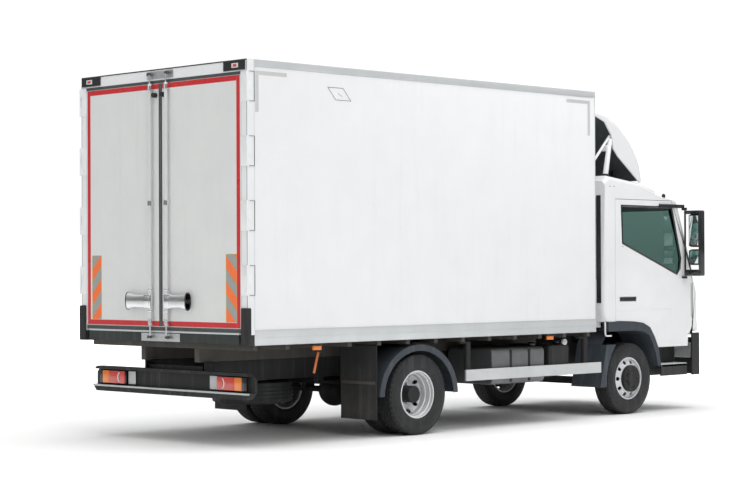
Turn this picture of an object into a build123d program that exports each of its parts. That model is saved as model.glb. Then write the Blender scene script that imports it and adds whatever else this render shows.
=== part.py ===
from build123d import *
import os
from math import cos, pi, radians, sin, sqrt

# A two-axle box truck for mail and parcels: ladder frame, tilting cab, box body with two rear doors.
# Millimetres. +X forward, +Y to the truck's left, +Z up, origin on the ground under the middle.

# ---- driving dimensions ----
tyre_r = 383.5
tyre_w = 215
box_l = 4800
box_w = 2400
box_h = 2500
box_z = 910            # underside of the box's lower edge rails
rear_overhang = 2182   # rear doors to rear axle
cab_gap = 405          # box front wall to cab rear wall
cab_to_axle = 429      # cab rear wall to front axle
wheelbase = box_l - rear_overhang + cab_gap + cab_to_axle
cab_l = 1675
cab_w = 2000
bumper_proud = 55      # bumper ahead of the cab's front panel
lock_proud = 74        # lock handles behind the doors
front_track = 1775
dual_pitch = 250       # between the two rear tyres of one side
rear_track_out = 2107  # between the outer rear tyres
rail_h = 190
rail_z = 550
rail_w = 65
frame_w = 840

# ---- fits ----
touch_gap = 0.3        # between faces that meet and do not turn
run_fit = 0.05         # radial, shaft in its hole
swing_gap = 5          # round doors

# ---- stations along X ----
front_x = box_l + cab_gap + cab_l + bumper_proud
box_x0 = (lock_proud - front_x) / 2
box_x1 = box_x0 + box_l
cab_x0 = box_x1 + cab_gap
cab_x1 = cab_x0 + cab_l
bumper_x1 = cab_x1 + bumper_proud
axle_rx = box_x0 + rear_overhang
axle_fx = axle_rx + wheelbase
axle_z = tyre_r
rail_top = rail_z + rail_h
rail_y1 = frame_w / 2
rail_y0 = rail_y1 - rail_w

# ---- box body ----
wall_t = 25
skirt_h = 135          # lower edge rails
crown_h = 64           # upper edge rails
rail_proud = 5
floor_t = 90
floor_top = box_z + 110
side_y = box_w / 2
panel_y1 = side_y - rail_proud
panel_y0 = panel_y1 - wall_t
box_top = box_z + box_h
roof_t = 30
portal_d = 80
post_w = 75
lip_w = 40
header_h = 104
sill_h = 85
sill_z = box_z + 10

# ---- rear doors ----
door_t = 35
door_edge_y = side_y - post_w - swing_gap
door_z0 = box_z + 152
door_z1 = box_top - 135
seal_w = 23.5
seal_gap = 1.5
knuckle_r = 8
pin_r = 3.5
knuckle_x = -8
knuckle_y = side_y + 8
hinge_h = 264
hinge_n = 4
hinge_pitch = 564
hinge_z0 = box_z + 438
strap_t = 5
strap_gap = 0.5
leaf_t = 3.5
rod_r = 17
rod_y = 117
rod_x = -30            # rod line behind the doors' outer face
tip_r = 8
guide_h = 46
handle_z = box_z + 380
handle_h = 130
handle_reach = 320

# ---- wheels ----
bead_r = 222
flange_r = 236
rim_w = 152
flange_t = 8
disc_t = 8
hub_bore_r = 82
hub_r = 80
drum_r = 165
stud_ring_r = 102.5
stud_n = 6
hand_hole_r = 21
hand_hole_ring = 176
hand_hole_n = 10
spindle_r = 30

# ---- cab ----
skin_t = 45
cab_y = cab_w / 2
cab_floor_z = 905
cab_floor_t = 35
flare_top = 1000
swing_room = 30        # the doors' front edges swing this far inside the side walls
flap_edge = 12
flare_in = 25          # flares reach this far inside the side walls
pivot_x = cab_x1 - 70
pivot_z = 820
pivot_r = 15
mirror_y0 = cab_y + 75
mirror_w = 160

# ---- small helpers ----
views = {
    "side": (Plane.XZ, Vector(0, 1, 0)),
    "rear": (Plane.YZ, Vector(1, 0, 0)),
    "plan": (Plane.XY, Vector(0, 0, 1)),
}


def block(x0, x1, y0, y1, z0, z1):
    return Pos((x0 + x1) / 2, (y0 + y1) / 2, (z0 + z1) / 2) * Box(x1 - x0, y1 - y0, z1 - z0)


def prism(view, points, start, end):
    plane, along = views[view]
    face = plane * make_face(Polyline(*points, close=True))
    return Pos(*(along * start)) * extrude(face, amount=end - start, dir=along)


def rod(x, y, z, radius, length, axis="z"):
    turn = {"x": Rot(0, 90, 0), "y": Rot(-90, 0, 0), "z": Rot(0, 0, 0)}[axis]
    low = (Align.CENTER, Align.CENTER, Align.MIN)
    return Pos(x, y, z) * turn * Cylinder(radius, length, align=low)


def bar(start, end, radius):
    line = Vector(*end) - Vector(*start)
    plane = Plane(origin=start, z_dir=line)
    return extrude(plane * Circle(radius), amount=line.length)


def mirrored(shapes):
    return [mirror(shape, about=Plane.XZ) for shape in shapes]


def both(shapes):
    return list(shapes) + mirrored(shapes)


def save(node, shapes):
    solids = []
    for shape in shapes:
        solids += list(shape.solids())
    export_step(Compound(solids), "parts/" + node + ".step")
    print(node, len(solids))


# ---- chassis ----
rail_x0 = box_x0 + 160
rail_x1 = cab_x1 - 280
web_t = 7
flange_th = 8


def rail():
    section = [
        (rail_y0, rail_z), (rail_y1, rail_z), (rail_y1, rail_top), (rail_y0, rail_top),
        (rail_y0, rail_top - flange_th), (rail_y1 - web_t, rail_top - flange_th),
        (rail_y1 - web_t, rail_z + flange_th), (rail_y0, rail_z + flange_th),
    ]
    return prism("rear", section, rail_x0, rail_x1)


cross_w = 80
cross_z0 = rail_z + 40
cross_z1 = rail_top - 40
cross_half = rail_y1 - web_t
spare_x = box_x0 + 1100
spare_z = tyre_r + 39
cross_at = [rail_x0 + 60, spare_x, axle_rx + 720, axle_rx + 2050, rail_x1 - 60]
spare_disc_z = spare_z + 95 - disc_t
spare_plate_t = 10


def cross_members():
    members = []
    for x in cross_at:
        members.append(block(x - cross_w / 2, x + cross_w / 2, -cross_half, cross_half, cross_z0, cross_z1))
    plate_top = spare_disc_z - touch_gap
    plate = rod(spare_x, 0, plate_top - spare_plate_t, 130, spare_plate_t)
    hanger = rod(spare_x, 0, plate_top, 14, cross_z0 - plate_top)
    return members + [plate + hanger]


bearer_x0 = box_x0 + portal_d + 20
bearer_x1 = box_x1 - 50
cross_bearer_w = 50
cross_bearer_h = 65
cross_bearer_n = 13
bearer_z1 = box_z + 20 - cross_bearer_h


def subframe_bearers():
    long_bearers = both([block(bearer_x0, bearer_x1, rail_y0, rail_y1, rail_top, bearer_z1)])
    pitch = (bearer_x1 - bearer_x0 - cross_bearer_w) / (cross_bearer_n - 1)
    cross_bearers = []
    for i in range(cross_bearer_n):
        x = bearer_x0 + i * pitch
        half = panel_y0 - 15
        cross_bearers.append(block(x, x + cross_bearer_w, -half, half, bearer_z1, bearer_z1 + cross_bearer_h))
    return long_bearers + cross_bearers


arm_y0 = 350
arm_y1 = 420
ear_t = 20
tow_r = 13.5
tow_l = 60
block_r = 30
bumper_t = 25
arm_x1 = bumper_x1 - bumper_t - touch_gap


def cab_mounts():
    shapes = []
    for side in (1, -1):
        arm = block(rail_x1, arm_x1, arm_y0, arm_y1, 580, 700)
        tow = rod(arm_x1 - tow_l, (arm_y0 + arm_y1) / 2, 640, tow_r, tow_l, "x")
        foot = block(pivot_x - block_r, pivot_x + block_r, arm_y0 + ear_t, arm_y1 - ear_t, 700, pivot_z)
        head = rod(pivot_x, arm_y0 + ear_t, pivot_z, block_r, arm_y1 - arm_y0 - 2 * ear_t, "y")
        hole = rod(pivot_x, arm_y0, pivot_z, pivot_r + run_fit, arm_y1 - arm_y0, "y")
        jaw = arm + foot + head - hole - tow
        shapes.append(jaw if side > 0 else mirror(jaw, about=Plane.XZ))
    top = cab_floor_z - touch_gap
    bridge_x = cab_x0 + 60
    legs = both([block(bridge_x, bridge_x + 70, rail_y0, rail_y1, rail_top, top - 50)])
    bridge = block(bridge_x, bridge_x + 70, -590, 590, top - 50, top)
    return shapes + legs + [bridge]


spring_half = 620
spring_z = axle_z + 56.5
spring_t = 60
eye_t = 14


def leaf_spring(x):
    top = rail_z - 38
    profile = [
        (x - 80, spring_z), (x + 80, spring_z), (x + spring_half, top - eye_t), (x + spring_half, top),
        (x + 80, spring_z + spring_t), (x - 80, spring_z + spring_t),
        (x - spring_half, top), (x - spring_half, top - eye_t),
    ]
    shapes = [prism("side", profile, rail_y0, rail_y1)]
    for sign in (-1, 1):
        edge = x + sign * spring_half
        inner = edge - sign * 70
        shapes.append(block(min(edge, inner), max(edge, inner), rail_y0, rail_y1, top, rail_z))
    return shapes


beam_z0 = axle_z - 84
kingpin_y = 735
kingpin_r = 18
boss_r = 35
boss_z0 = axle_z - 58
boss_z1 = axle_z + 58


def front_axle_beam():
    beam = block(axle_fx - 40, axle_fx + 40, -560, 560, beam_z0, beam_z0 + 76)
    ends = [(560, beam_z0), (kingpin_y - 20, boss_z0 + 7), (kingpin_y - 20, boss_z0 + 76), (560, beam_z0 + 76)]
    for side in (1, -1):
        rise = prism("rear", [(side * y, z) for y, z in ends], axle_fx - 35, axle_fx + 35)
        boss = rod(axle_fx, side * kingpin_y, boss_z0, boss_r, boss_z1 - boss_z0)
        hole = rod(axle_fx, side * kingpin_y, boss_z0 - 1, kingpin_r + run_fit, boss_z1 - boss_z0 + 2)
        beam = beam + rise + boss - hole
    pads = both([block(axle_fx - 60, axle_fx + 60, rail_y0, rail_y1, beam_z0 + 76, spring_z)])
    return [beam + pads[0] + pads[1]]


ear_gap = 2
plate_y = kingpin_y + 55
spindle_end = front_track / 2 + 55


def knuckle():
    upper = block(axle_fx - 30, axle_fx + 30, kingpin_y - 28, plate_y, boss_z1 + ear_gap, boss_z1 + 30)
    lower = block(axle_fx - 30, axle_fx + 30, kingpin_y - 28, plate_y, boss_z0 - 30, boss_z0 - ear_gap)
    web = block(axle_fx - 30, axle_fx + 30, kingpin_y + 40, plate_y, boss_z0 - 30, boss_z1 + 30)
    pin = rod(axle_fx, kingpin_y, boss_z0 - 30, kingpin_r, boss_z1 - boss_z0 + 60)
    backing = rod(axle_fx, plate_y, axle_z, drum_r + 3, 8, "y")
    spindle = rod(axle_fx, plate_y, axle_z, spindle_r, spindle_end - plate_y, "y")
    return upper + lower + web + pin + backing + spindle


rear_in_y = rear_track_out / 2 - dual_pitch
tube_r = 55
diff_r = 160
nose_up = 36
nose_l = 220
rear_hub_in = rear_in_y - 80
rear_hub_out = rear_track_out / 2 + 10


def rear_axle_housing():
    tube = rod(axle_rx, -rear_hub_in + 20, axle_z, tube_r, 2 * rear_hub_in - 40, "y")
    bowl = Pos(axle_rx, 0, axle_z) * Sphere(diff_r)
    nose = rod(axle_rx, 0, axle_z + nose_up, 62, nose_l, "x")
    shapes = tube + bowl + nose
    reach = rear_hub_out - 40
    shapes = shapes + rod(axle_rx, -reach, axle_z, spindle_r, 2 * reach, "y")
    pads = both([block(axle_rx - 60, axle_rx + 60, rail_y0, rail_y1, axle_z, spring_z)])
    plates = both([rod(axle_rx, rear_hub_in - 28, axle_z, drum_r + 3, 8, "y")])
    for piece in pads + plates:
        shapes = shapes + piece
    return [shapes]


engine_x0 = cab_x0 + 150
engine_x1 = cab_x0 + 1000
gearbox_l = 600
shaft_r = 38
yoke_r = 52
output_z = 560


def engine_and_gearbox():
    low = block(engine_x0, engine_x1, -200, 200, 470, 600)
    crank = block(engine_x0, engine_x1, -280, 280, 600, 760)
    head = block(engine_x0 + 60, engine_x1 - 60, -170, 170, 760, 860)
    gearbox = block(engine_x0 - gearbox_l, engine_x0, -190, 190, 440, 700)
    mount_x = (engine_x0 + engine_x1) / 2
    for side in (1, -1):
        y = 280 if side > 0 else -cross_half
        crank = crank + block(mount_x - 50, mount_x + 50, y, y + cross_half - 280, 610, 660)
    fan = rod(engine_x1, 0, 640, 230, 40, "x")
    radiator = block(engine_x1 + 90, engine_x1 + 150, -330, 330, 420, 860)
    shroud = block(engine_x1 + 40, engine_x1 + 90, -250, 250, 450, 840)
    return [low + crank + head, gearbox, fan, radiator, shroud]


def propshaft():
    nose = Vector(axle_rx + nose_l, 0, axle_z + nose_up)
    output = Vector(engine_x0 - gearbox_l, 0, output_z)
    room = yoke_r * (output.Z - nose.Z) / (output.X - nose.X) + touch_gap
    start = nose + Vector(room, 0, 0)
    end = output - Vector(room, 0, 0)
    line = end - start
    plane = Plane(origin=start, z_dir=line)
    length = line.length
    tube = extrude(plane * Circle(shaft_r), amount=length)
    yoke = extrude(plane * Circle(yoke_r), amount=70)
    far = Plane(origin=end, z_dir=line * -1)
    return tube + yoke + extrude(far * Circle(yoke_r), amount=70)


tank_y1 = side_y - 110
tank_y0 = rail_y1 + 60


def fuel_tank():
    x0 = axle_rx + 1120
    tank = block(x0, x0 + 800, -tank_y1, -tank_y0, 420, 780)
    tank = fillet(tank.edges().filter_by(Axis.X), 50)
    neck = rod(x0 + 700, -tank_y1 + 90, 780, 40, 45)
    brackets = [block(x0 + x, x0 + x + 50, -tank_y0, -rail_y1, 580, 720) for x in (120, 630)]
    additive = block(x0 + 860, x0 + 1180, -tank_y1 - 20, -tank_y0 - 30, 500, 790)
    additive = fillet(additive.edges().filter_by(Axis.Z), 40)
    cap = rod(x0 + 1060, -tank_y1 + 70, 790, 42, 40)
    stay = block(x0 + 980, x0 + 1040, -tank_y0 - 30, -rail_y1, 600, 700)
    return [tank, neck, additive, cap, stay] + brackets


def battery_box():
    x0 = axle_rx + 1120
    case = block(x0, x0 + 620, tank_y0, tank_y0 + 420, 480, 760)
    lid = block(x0 - 8, x0 + 628, tank_y0 - 8, tank_y0 + 428, 760, 790)
    stay = block(x0 + 260, x0 + 340, rail_y1, tank_y0, 560, 700)
    return [case, lid, stay]


tail_in = 120          # exhaust outlet inside the box's side


def exhaust():
    x0 = axle_rx + 1850
    can = block(x0, x0 + 620, tank_y0, tank_y0 + 360, 480, 740)
    can = fillet(can.edges().filter_by(Axis.X), 90)
    tail = rod(x0 + 80, tank_y0 + 360, 610, 35, side_y - tail_in - tank_y0 - 360, "y")
    pipe = rod(x0 + 620, tank_y0 + 180, 610, 35, 180, "x")
    stay = block(x0 + 280, x0 + 340, rail_y1, tank_y0, 580, 680)
    return [can, tail, pipe, stay]


# ---- box body ----
def box_floor():
    half = panel_y0 - touch_gap
    return [block(box_x0 + portal_d, box_x1 - wall_t, -half, half, floor_top - floor_t, floor_top)]


def box_panels():
    x0 = box_x0 + portal_d
    sides = both([block(x0, box_x1, panel_y0, panel_y1, box_z + skirt_h, box_top - crown_h)])
    front = block(box_x1 - wall_t, box_x1, -panel_y0, panel_y0, floor_top - floor_t, box_top - roof_t)
    roof = block(x0, box_x1, -panel_y0, panel_y0, box_top - roof_t, box_top)
    return sides + [front, roof]


def box_edge_rails():
    x0 = box_x0 + portal_d
    skirt = block(x0, box_x1, panel_y0, side_y, box_z, box_z + skirt_h)
    crown = block(x0, box_x1, panel_y0, side_y, box_top - crown_h, box_top)
    return both([skirt, crown])


hinge_lines = [hinge_z0 + i * hinge_pitch for i in range(hinge_n)]
leaf_share = 3         # knuckles per hinge: two on the door, one on the post


def rear_portal():
    x0 = box_x0
    lip_x = x0 + door_t + 3
    x1 = x0 + portal_d
    inner = side_y - post_w
    post = [(x0, inner), (x0, side_y), (x1, side_y), (x1, inner - lip_w), (lip_x, inner - lip_w), (lip_x, inner)]
    foot_z = box_z
    left = prism("plan", post, foot_z, box_top - header_h)
    head_z = box_top - header_h
    head = [(x0, head_z), (x0, box_top), (x1, box_top), (x1, head_z - 30), (lip_x, head_z - 30), (lip_x, head_z)]
    header = prism("side", head, -side_y, side_y)
    lip_room = block(lip_x - 1, x1 + 1, inner - lip_w, side_y + 1, head_z - 31, head_z)
    header = header - lip_room - mirror(lip_room, about=Plane.XZ)
    half = inner - lip_w
    sill = block(x0, x1, -half, half, sill_z, sill_z + sill_h)
    strip = block(x0, x1, -half, half, sill_z + sill_h, floor_top)
    keepers = [
        block(x0 - 6, x0, -280, 280, sill_z + 4, sill_z + sill_h - 8),
        block(x0 - 6, x0, -190, 190, box_top - 92, box_top - 22),
    ]
    posts = both([left])
    knuckles = []
    for z in hinge_lines:
        length = hinge_h / leaf_share - 2 * touch_gap
        z0 = z + hinge_h / leaf_share + touch_gap
        knuckle_ring = rod(x0 + knuckle_x, knuckle_y, z0, knuckle_r, length)
        bore = rod(x0 + knuckle_x, knuckle_y, z0 - 1, pin_r + run_fit, length + 2)
        leaf = block(x0 + knuckle_x, x0 + 60, side_y, side_y + 4, z0, z0 + length)
        knuckles.append(knuckle_ring + leaf - bore)
    return posts + [header, sill, strip] + keepers + both(knuckles)


buffer_z1 = box_z + 330


def corner_buffers():
    pad = block(box_x0 - 20, box_x0, side_y - post_w + 2, side_y + 20, box_z, buffer_z1)
    wrap = block(box_x0, box_x0 + 30, side_y, side_y + 20, box_z, buffer_z1)
    return both([pad + wrap])


marker_x = [box_x0 + 850, box_x0 + 4090]


def marker_lamps():
    lamps = [block(box_x0 - 14, box_x0, 895, 1180, box_top - 96, box_top - 4)]
    for x in marker_x:
        lamps.append(block(x - 50, x + 50, panel_y0 - 15, side_y - 20, box_z - 62, box_z - 22))
        lamps.append(block(x - 60, x + 60, panel_y0 - 15, side_y - 10, box_z - 22, box_z))
    return both(lamps)


# ---- rear doors, left one modelled and mirrored ----
def rear_door():
    panel = block(box_x0, box_x0 + door_t, seal_gap + seal_w, door_edge_y, door_z0, door_z1)
    edge_seal = block(box_x0 + 2, box_x0 + door_t, seal_gap, seal_gap + seal_w, door_z0, door_z1)
    low_seal = block(box_x0 + 2, box_x0 + door_t, seal_gap, door_edge_y, floor_top + 6, door_z0)
    top_seal = block(box_x0 + 2, box_x0 + door_t, seal_gap, door_edge_y, door_z1, box_top - header_h - 2)
    guides = []
    for z in (door_z0 + 20, (door_z0 + door_z1) / 2 - 8, door_z1 - 60):
        guides.append(rod_guide(z))
    bumper = rod(box_x0 - 42, 62, door_z1 - 105, 22, 42, "x")
    return [panel, edge_seal, low_seal, top_seal, bumper] + guides


def rod_guide(z):
    outer = rod(box_x0 + rod_x, rod_y, z, rod_r + 7, guide_h)
    foot = block(box_x0 + rod_x, box_x0, rod_y - rod_r - 7, rod_y + rod_r + 7, z, z + guide_h)
    bore = rod(box_x0 + rod_x, rod_y, z - 1, rod_r + run_fit, guide_h + 2)
    return outer + foot - bore


def door_hinges():
    hinges = []
    for z in hinge_lines:
        part = hinge_h / leaf_share
        x = box_x0 + knuckle_x
        face = box_x0 - strap_gap
        strap = block(face - strap_t, face, door_edge_y, knuckle_y, z, z + hinge_h)
        leaf = block(face - strap_t, box_x0 + 28, door_edge_y, door_edge_y + leaf_t, z, z + hinge_h)
        leaf = leaf - block(box_x0 - 20, box_x0 + 40, door_edge_y, door_edge_y + 10, door_z1, box_top)
        body = strap + leaf + rod(x, knuckle_y, z, knuckle_r, hinge_h)
        room = block(x - 9, box_x0 + 1, knuckle_y - 12, knuckle_y + 9, z + part, z + 2 * part)
        pin = rod(x, knuckle_y, z + part - 1, pin_r, part + 2)
        hinges.append(body - room + pin)
    return hinges


def lock_rod():
    x = box_x0 + rod_x
    low_z = sill_z + sill_h / 2
    top_z = box_top - 45
    main_z0 = door_z0 + 20
    main_z1 = door_z1 - 60 + guide_h
    shaft = rod(x, rod_y, main_z0, rod_r, main_z1 - main_z0)
    tips = rod(x, rod_y, low_z, tip_r, main_z0 - low_z) + rod(x, rod_y, main_z1, tip_r, top_z - main_z1)
    cams = block(x - 9, x + 9, rod_y - 12, rod_y + 40, low_z - 14, low_z + 14)
    cams = cams + block(x - 9, x + 9, rod_y - 12, rod_y + 40, top_z - 14, top_z + 14)
    z0 = handle_z - handle_h / 2
    hub = block(x - 22, x + 17, rod_y - 20, rod_y + 60, z0, z0 + handle_h)
    horn = handle_horn(x)
    return [shaft + tips + cams + hub + horn]


def handle_horn(x):
    far = rod_y + handle_reach
    near = rod_y + 60
    neck = rod_y + handle_reach * 0.62
    depth0, depth1 = box_x0 - lock_proud, box_x0 - 8
    low, high = handle_z - handle_h / 2, handle_z + handle_h / 2
    side = [
        (near, low), (neck, low), (far, low - 18), (far, high + 18), (neck, high), (near, high),
    ]
    hollow = [
        (neck + 12, low + 14), (far + 1, low - 8), (far + 1, high + 8), (neck + 12, high - 14),
    ]
    shell = prism("rear", side, depth0, depth1)
    plan = [
        (x - 22, near), (depth0, far - 30), (depth0, far), (depth1, far), (depth1, far - 40), (x + 17, near),
    ]
    shell = shell & prism("plan", plan, low - 30, high + 30)
    return shell - prism("rear", hollow, depth0 + 8, depth1 - 6)


# ---- underrun bar and lamps ----
bar_y = 1140
bar_z0 = 430
bar_z1 = 665
bar_x0 = box_x0 + 80
bar_depth = 80
plate_pitch = 300
plate_hole_r = 3.5
lamp_z0 = bar_z0 + 68
lamp_z1 = bar_z1 - 32


def underrun_bar():
    x1 = bar_x0 + bar_depth
    section = [
        (bar_x0, bar_z0), (x1, bar_z0), (x1, bar_z1), (bar_x0, bar_z1),
        (bar_x0, bar_z1 - 28), (x1 - 25, bar_z1 - 28), (x1 - 25, bar_z0 + 60), (bar_x0, bar_z0 + 60),
    ]
    beam = prism("side", section, -bar_y, bar_y)
    c = 60
    outline = [
        (-bar_y, bar_z0 + c), (-bar_y + c, bar_z0), (bar_y - c, bar_z0), (bar_y, bar_z0 + c),
        (bar_y, bar_z1 - c), (bar_y - c, bar_z1), (-bar_y + c, bar_z1), (-bar_y, bar_z1 - c),
    ]
    beam = beam & prism("rear", outline, bar_x0 - 1, x1 + 1)
    arms = both([block(x1, x1 + 90, rail_y1, rail_y1 + 20, bar_z0 + 20, rail_top)])
    holder = block(bar_x0 - 4, bar_x0, -260, 260, bar_z0 + 6, bar_z0 + 56)
    for y in (-plate_pitch / 2, plate_pitch / 2):
        holder = holder - rod(bar_x0 - 5, y, bar_z0 + 31, plate_hole_r, 6, "x")
    return [beam, holder] + arms


def tail_lamps():
    web_x = bar_x0 + bar_depth - 25
    lamp = block(bar_x0 + 12, web_x, 662, 1052, lamp_z0, lamp_z1)
    lamp = fillet(lamp.edges().filter_by(Axis.X), 30)
    plate = block(web_x - 8, web_x, 530, 655, lamp_z0, lamp_z1)
    return both([lamp, plate])


# ---- guards ----
guard_y1 = side_y - 45
guard_z0 = 480


def side_guards():
    x0 = axle_rx + 668
    plank = block(x0, box_x1 + 140, guard_y1 - 25, guard_y1, guard_z0, guard_z0 + 110)
    posts = []
    for x in (x0 + 30, box_x1 - 120):
        post = block(x, x + 60, guard_y1 - 65, guard_y1 - 25, guard_z0, bearer_z1)
        posts.append(post + block(x - 90, x + 60, guard_y1 - 65, guard_y1 - 25, bearer_z1 - 20, bearer_z1))
    return both([plank] + posts)


arch_rx = 530
arch_rz = 476
arch_t = 7
arch_lip = 62
tie_z = 560
arch_n = 36
guard_in = rear_in_y - tyre_w / 2 - 15
guard_out = side_y - 30


def arch_points(rx, rz, centre_x):
    points = []
    for i in range(arch_n + 1):
        a = pi * i / arch_n
        points.append((centre_x - rx * cos(a), axle_z + rz * sin(a)))
    return points


def rear_mudguards():
    top = arch_points(arch_rx, arch_rz, axle_rx)
    under = arch_points(arch_rx - arch_t, arch_rz - arch_t, axle_rx)
    skin = prism("side", top + under[::-1], guard_in, guard_out)
    lip_under = arch_points(arch_rx - arch_lip, arch_rz - arch_lip, axle_rx)
    lip = prism("side", top + lip_under[::-1], guard_out - 8, guard_out)
    back_x = axle_rx - arch_rx - 45
    back = block(back_x, back_x + 6, guard_in, guard_out, 500, box_z - 48)
    flap = block(back_x + 6, back_x + 14, guard_in, guard_out - 10, 170, 530)
    strip = block(back_x - 4, back_x, guard_in + 20, guard_out - 20, 500, 530)
    tie_reach = arch_rx * sqrt(1 - ((tie_z - axle_z) / arch_rz) ** 2) + touch_gap
    tie = block(back_x + 6, axle_rx - tie_reach, guard_in, guard_in + 200, tie_z, tie_z + 20)
    stay_z = axle_z + arch_rz + touch_gap
    stay = block(axle_rx - 22, axle_rx + 22, rail_y1, guard_out - 80, stay_z, stay_z + 20)
    return both([skin + lip, back, flap, strip, tie, stay])


# ---- wheels: sections are (radius, distance outward from the wheel's middle plane) ----
def tyre_ring(width):
    half = width / 2
    bead = rim_w / 2 - touch_gap
    shoulder = half - 17
    crown_drop = 7
    wide_r = (flange_r + tyre_r) / 2 - 12
    tread = tyre_r - crown_drop
    outline = (
        Line((bead_r + touch_gap, -bead), (flange_r + 3, -bead))
        + ThreePointArc((flange_r + 3, -bead), (wide_r, -half), (tread - 8, -shoulder - 4))
        + Line((tread - 8, -shoulder - 4), (tread, -shoulder))
        + ThreePointArc((tread, -shoulder), (tyre_r, 0), (tread, shoulder))
        + Line((tread, shoulder), (tread - 8, shoulder + 4))
        + ThreePointArc((tread - 8, shoulder + 4), (wide_r, half), (flange_r + 3, bead))
        + Line((flange_r + 3, bead), (bead_r + touch_gap, bead))
        + Line((bead_r + touch_gap, bead), (bead_r + touch_gap, bead - 16))
        + ThreePointArc((bead_r + touch_gap, bead - 16), (wide_r, half - 14), (tread - 24, shoulder - 20))
        + Line((tread - 24, shoulder - 20), (tread - 24, -shoulder + 20))
        + ThreePointArc((tread - 24, -shoulder + 20), (wide_r, -half + 14), (bead_r + touch_gap, -bead + 16))
        + Line((bead_r + touch_gap, -bead + 16), (bead_r + touch_gap, -bead))
    )
    ring = revolve(make_face(outline), axis=Axis.Y)
    for s in (-54, -18, 18, 54):
        groove = make_face(Polyline((tyre_r - 11, s - 5), (tyre_r + 5, s - 5), (tyre_r + 5, s + 5), (tyre_r - 11, s + 5),
                                    close=True))
        ring = ring - revolve(groove, axis=Axis.Y)
    return ring


def rim_ring(seat, mouth):
    half = rim_w / 2
    r0 = bead_r - disc_t
    sign = 1 if seat > mouth else -1
    barrel = [
        (r0, -half - flange_t), (flange_r, -half - flange_t), (flange_r, -half), (bead_r, -half),
        (bead_r, half), (flange_r, half), (flange_r, half + flange_t), (r0, half + flange_t),
    ]
    ring = revolve(make_face(Polyline(*barrel, close=True)), axis=Axis.Y)
    cone = [
        (r0 + 1, mouth), (r0 + 1, mouth - sign * 12), (145, seat - sign * disc_t), (hub_bore_r, seat - sign * disc_t),
        (hub_bore_r, seat), (140, seat),
    ]
    disc = revolve(make_face(Polyline(*cone, close=True)), axis=Axis.Y)
    for i in range(hand_hole_n):
        a = 2 * pi * i / hand_hole_n
        x, z = hand_hole_ring * cos(a), hand_hole_ring * sin(a)
        low = min(seat, mouth) - 30
        disc = disc - rod(x, low, z, hand_hole_r, abs(seat - mouth) + 60, "y")
    return ring + disc


def nuts(face, sign):
    shapes = []
    for i in range(stud_n):
        a = 2 * pi * i / stud_n
        x, z = stud_ring_r * cos(a), stud_ring_r * sin(a)
        nut = rod(x, face if sign > 0 else face - 24, z, 15, 24, "y")
        shapes.append(nut)
    return shapes


front_seat = 95
cover_r = 143
cover_h = 32
front_mouth = 50


def front_rim():
    ring = rim_ring(front_seat, front_mouth)
    in_s = plate_y + 12 - front_track / 2
    end_s = front_seat - disc_t
    drum = rod(0, in_s, 0, drum_r, 30 - in_s, "y") + rod(0, 30, 0, 125, end_s - 30, "y")
    nose = rod(0, end_s, 0, hub_r, 50, "y")
    bore_l = spindle_end - front_track / 2 - in_s + 6
    hub = drum + nose - rod(0, in_s - 1, 0, spindle_r + run_fit, bore_l, "y")
    cover = rod(0, front_seat + touch_gap, 0, cover_r, cover_h, "y")
    cover = cover - rod(0, front_seat, 0, hub_r, cover_h + 1, "y")
    return [ring, hub, cover]


rear_seat = -dual_pitch / 2
rear_mouth = -62


def rear_rims():
    outer = rim_ring(rear_seat, rear_mouth)
    inner = Pos(0, -dual_pitch, 0) * rim_ring(-rear_seat, -rear_mouth)
    in_s = rear_hub_in - rear_track_out / 2
    face = rear_seat - disc_t
    drum = rod(0, in_s, 0, drum_r, 150, "y") + rod(0, in_s + 150, 0, 125, face - in_s - 150, "y")
    nose = rod(0, face, 0, hub_r, rear_hub_out + 30 - rear_track_out / 2 - face, "y")
    bore = rod(0, in_s - 1, 0, spindle_r + run_fit, rear_hub_out - 34 - rear_track_out / 2 - in_s, "y")
    return [outer, inner, drum + nose - bore] + nuts(rear_seat + disc_t, 1)


def spare_wheel():
    stand = Pos(spare_x, 0, spare_z) * Rot(90, 0, 0)
    return [stand * tyre_ring(tyre_w), stand * rim_ring(front_seat, front_mouth)]


# ---- cab ----
roof_z = 2560
brow_x = cab_x1 - 434
brow_z = 2311
cowl_x = cab_x1 - 95
cowl_z = 1490
nose_z = 860


def cab_outline(inset):
    x0 = cab_x0 + inset
    return [
        (x0, nose_z + 20 - inset * 2), (x0, roof_z - 60 - inset), (cab_x0 + 75 + inset / 2, roof_z - inset),
        (cab_x0 + 635, roof_z - 65 - inset), (cab_x0 + 895, roof_z - 141 - inset), (brow_x - inset / 2, brow_z - inset),
        (brow_x + 34 - inset, brow_z - 45 - inset), (cowl_x - inset, cowl_z - inset / 3),
        (cab_x1 - 25 - inset, 1300), (cab_x1 - inset / 1.6, nose_z - inset * 0),
    ]


door_x0 = cab_x0 + 180
door_x1 = cab_x1 - 130
door_top = 2310
door_out = [
    (door_x0, 1006), (door_x0, door_top), (brow_x - 70, door_top), (door_x1 - 10, cowl_z + 20), (door_x1, cowl_z - 70),
    (door_x1, 860), (door_x1 - 75, 850), (door_x1 - 80, 705), (axle_fx + 496, 705), (axle_fx + 426, 824),
    (axle_fx + 345, 931), (axle_fx + 228, 978), (axle_fx + 67, 996), (axle_fx - 196, 1006),
]
window_out = [
    (door_x0 + 93, 2254), (door_x0 + 111, 1832), (door_x1 - 271, 1490), (door_x1 - 205, 1560),
    (door_x1 - 190, 1680), (door_x1 - 356, 2250),
]


def widened(points, gap):
    cx = sum(p[0] for p in points) / len(points)
    cz = sum(p[1] for p in points) / len(points)
    moved = []
    for x, z in points:
        moved.append((x + (gap if x > cx else -gap), z + (gap if z > cz else -gap)))
    return moved


screen_y = 905
screen_low = 0.05
screen_high = 0.95


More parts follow.
